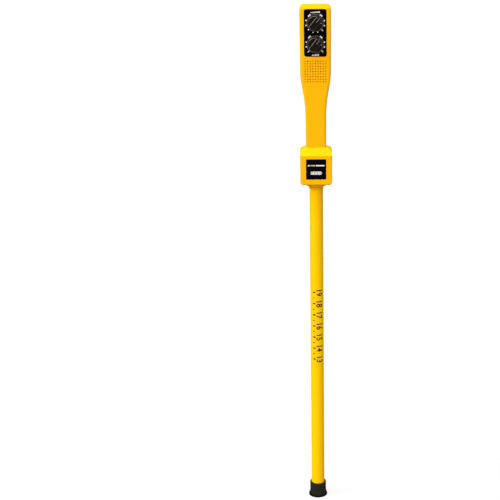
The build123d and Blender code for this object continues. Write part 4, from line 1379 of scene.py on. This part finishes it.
# Floor, light and camera
floor_size = 60
floor_share = 0.75
floor_tone = 0.26
floor_seen_tone = 0.64
ambient = 0.3
lamps = {
    "front_light": {"strength": 2.25, "spread": 50, "elevation": 35, "azimuth": 10},
    "left_light": {"strength": 1.85, "spread": 30, "elevation": 35, "azimuth": 74},
    "top_light": {"strength": 2.15, "spread": 40, "elevation": 80, "azimuth": 30},
    "rear_light": {"strength": 1.7, "spread": 50, "elevation": 6, "azimuth": 195},
}
camera_place = Vector((0, -2.617, 1.409))
camera_pitch = math.radians(17.715)
camera_roll = math.radians(-0.36)
camera_lens = 93.74
camera_shift = -0.1333


def seen_directly(tree):
    """A mask of the rays that come straight from the camera, or through a clear surface."""
    path = add(tree, "LightPath").outputs
    return reckoned(tree, "MAXIMUM", path["Is Camera Ray"], path["Is Transmission Ray"])


def studio_floor():
    """Wide pale floor that keeps a soft shadow."""
    bpy.ops.mesh.primitive_plane_add(size=floor_size)
    floor = named("studio_floor")
    material, tree, sockets = new_finish("studio_floor", Roughness=1.0, Specular_IOR_Level=0.0)
    seen = seen_directly(tree)
    link_or_set(tree, sockets["Base Color"], mixed(tree, seen, (floor_tone,) * 3, (floor_seen_tone,) * 3))
    white = add(tree, "Emission", {"Color": (1, 1, 1), "Strength": 1.0}).outputs[0]
    share = reckoned(tree, "MULTIPLY", seen, floor_share)
    shader = tree.nodes["Principled BSDF"].outputs[0]
    both = add(tree, "MixShader", {0: share, 1: shader, 2: white}).outputs[0]
    link_or_set(tree, tree.nodes["Material Output"].inputs["Surface"], both)
    floor.data.materials.append(material)


def studio_world():
    """Even white room: plain white where it is seen, softer where it lights."""
    world = bpy.data.worlds.new("studio_world")
    world.use_nodes = True
    tree = world.node_tree
    soft = tree.nodes["Background"]
    soft.inputs["Color"].default_value = (1, 1, 1, 1)
    soft.inputs["Strength"].default_value = ambient
    white = add(tree, "Background", {"Color": (1, 1, 1), "Strength": 1.0})
    both = add(tree, "MixShader", {0: seen_directly(tree), 1: soft.outputs[0], 2: white.outputs[0]})
    link_or_set(tree, tree.nodes["World Output"].inputs["Surface"], both.outputs[0])
    bpy.context.scene.world = world


def soft_lamp(name, strength, spread, elevation, azimuth):
    """Broad soft light from an elevation, and an azimuth to the left of the front, in degrees."""
    bpy.ops.object.light_add(type="SUN")
    lamp = bpy.context.object
    lamp.name = name
    lamp.data.energy = strength
    lamp.data.angle = math.radians(spread)
    lamp.rotation_euler = (math.radians(90 - elevation), 0, math.radians(-azimuth))


def photo_camera():
    """Camera in front of the wand, looking down on it, a little turned about its line of sight."""
    bpy.ops.object.camera_add(location=camera_place)
    camera = bpy.context.object
    camera.name = "photo_camera"
    camera.data.lens = camera_lens
    camera.data.shift_x = camera_shift
    level = Euler((quarter - camera_pitch, 0, 0)).to_quaternion()
    camera.rotation_mode = "QUATERNION"
    camera.rotation_quaternion = level @ Quaternion((0, 0, 1), camera_roll)
    bpy.context.scene.camera = camera


studio_floor()
studio_world()
for lamp_name, settings in lamps.items():
    soft_lamp(lamp_name, **settings)
photo_camera()
bpy.context.scene.view_settings.view_transform = "Standard"
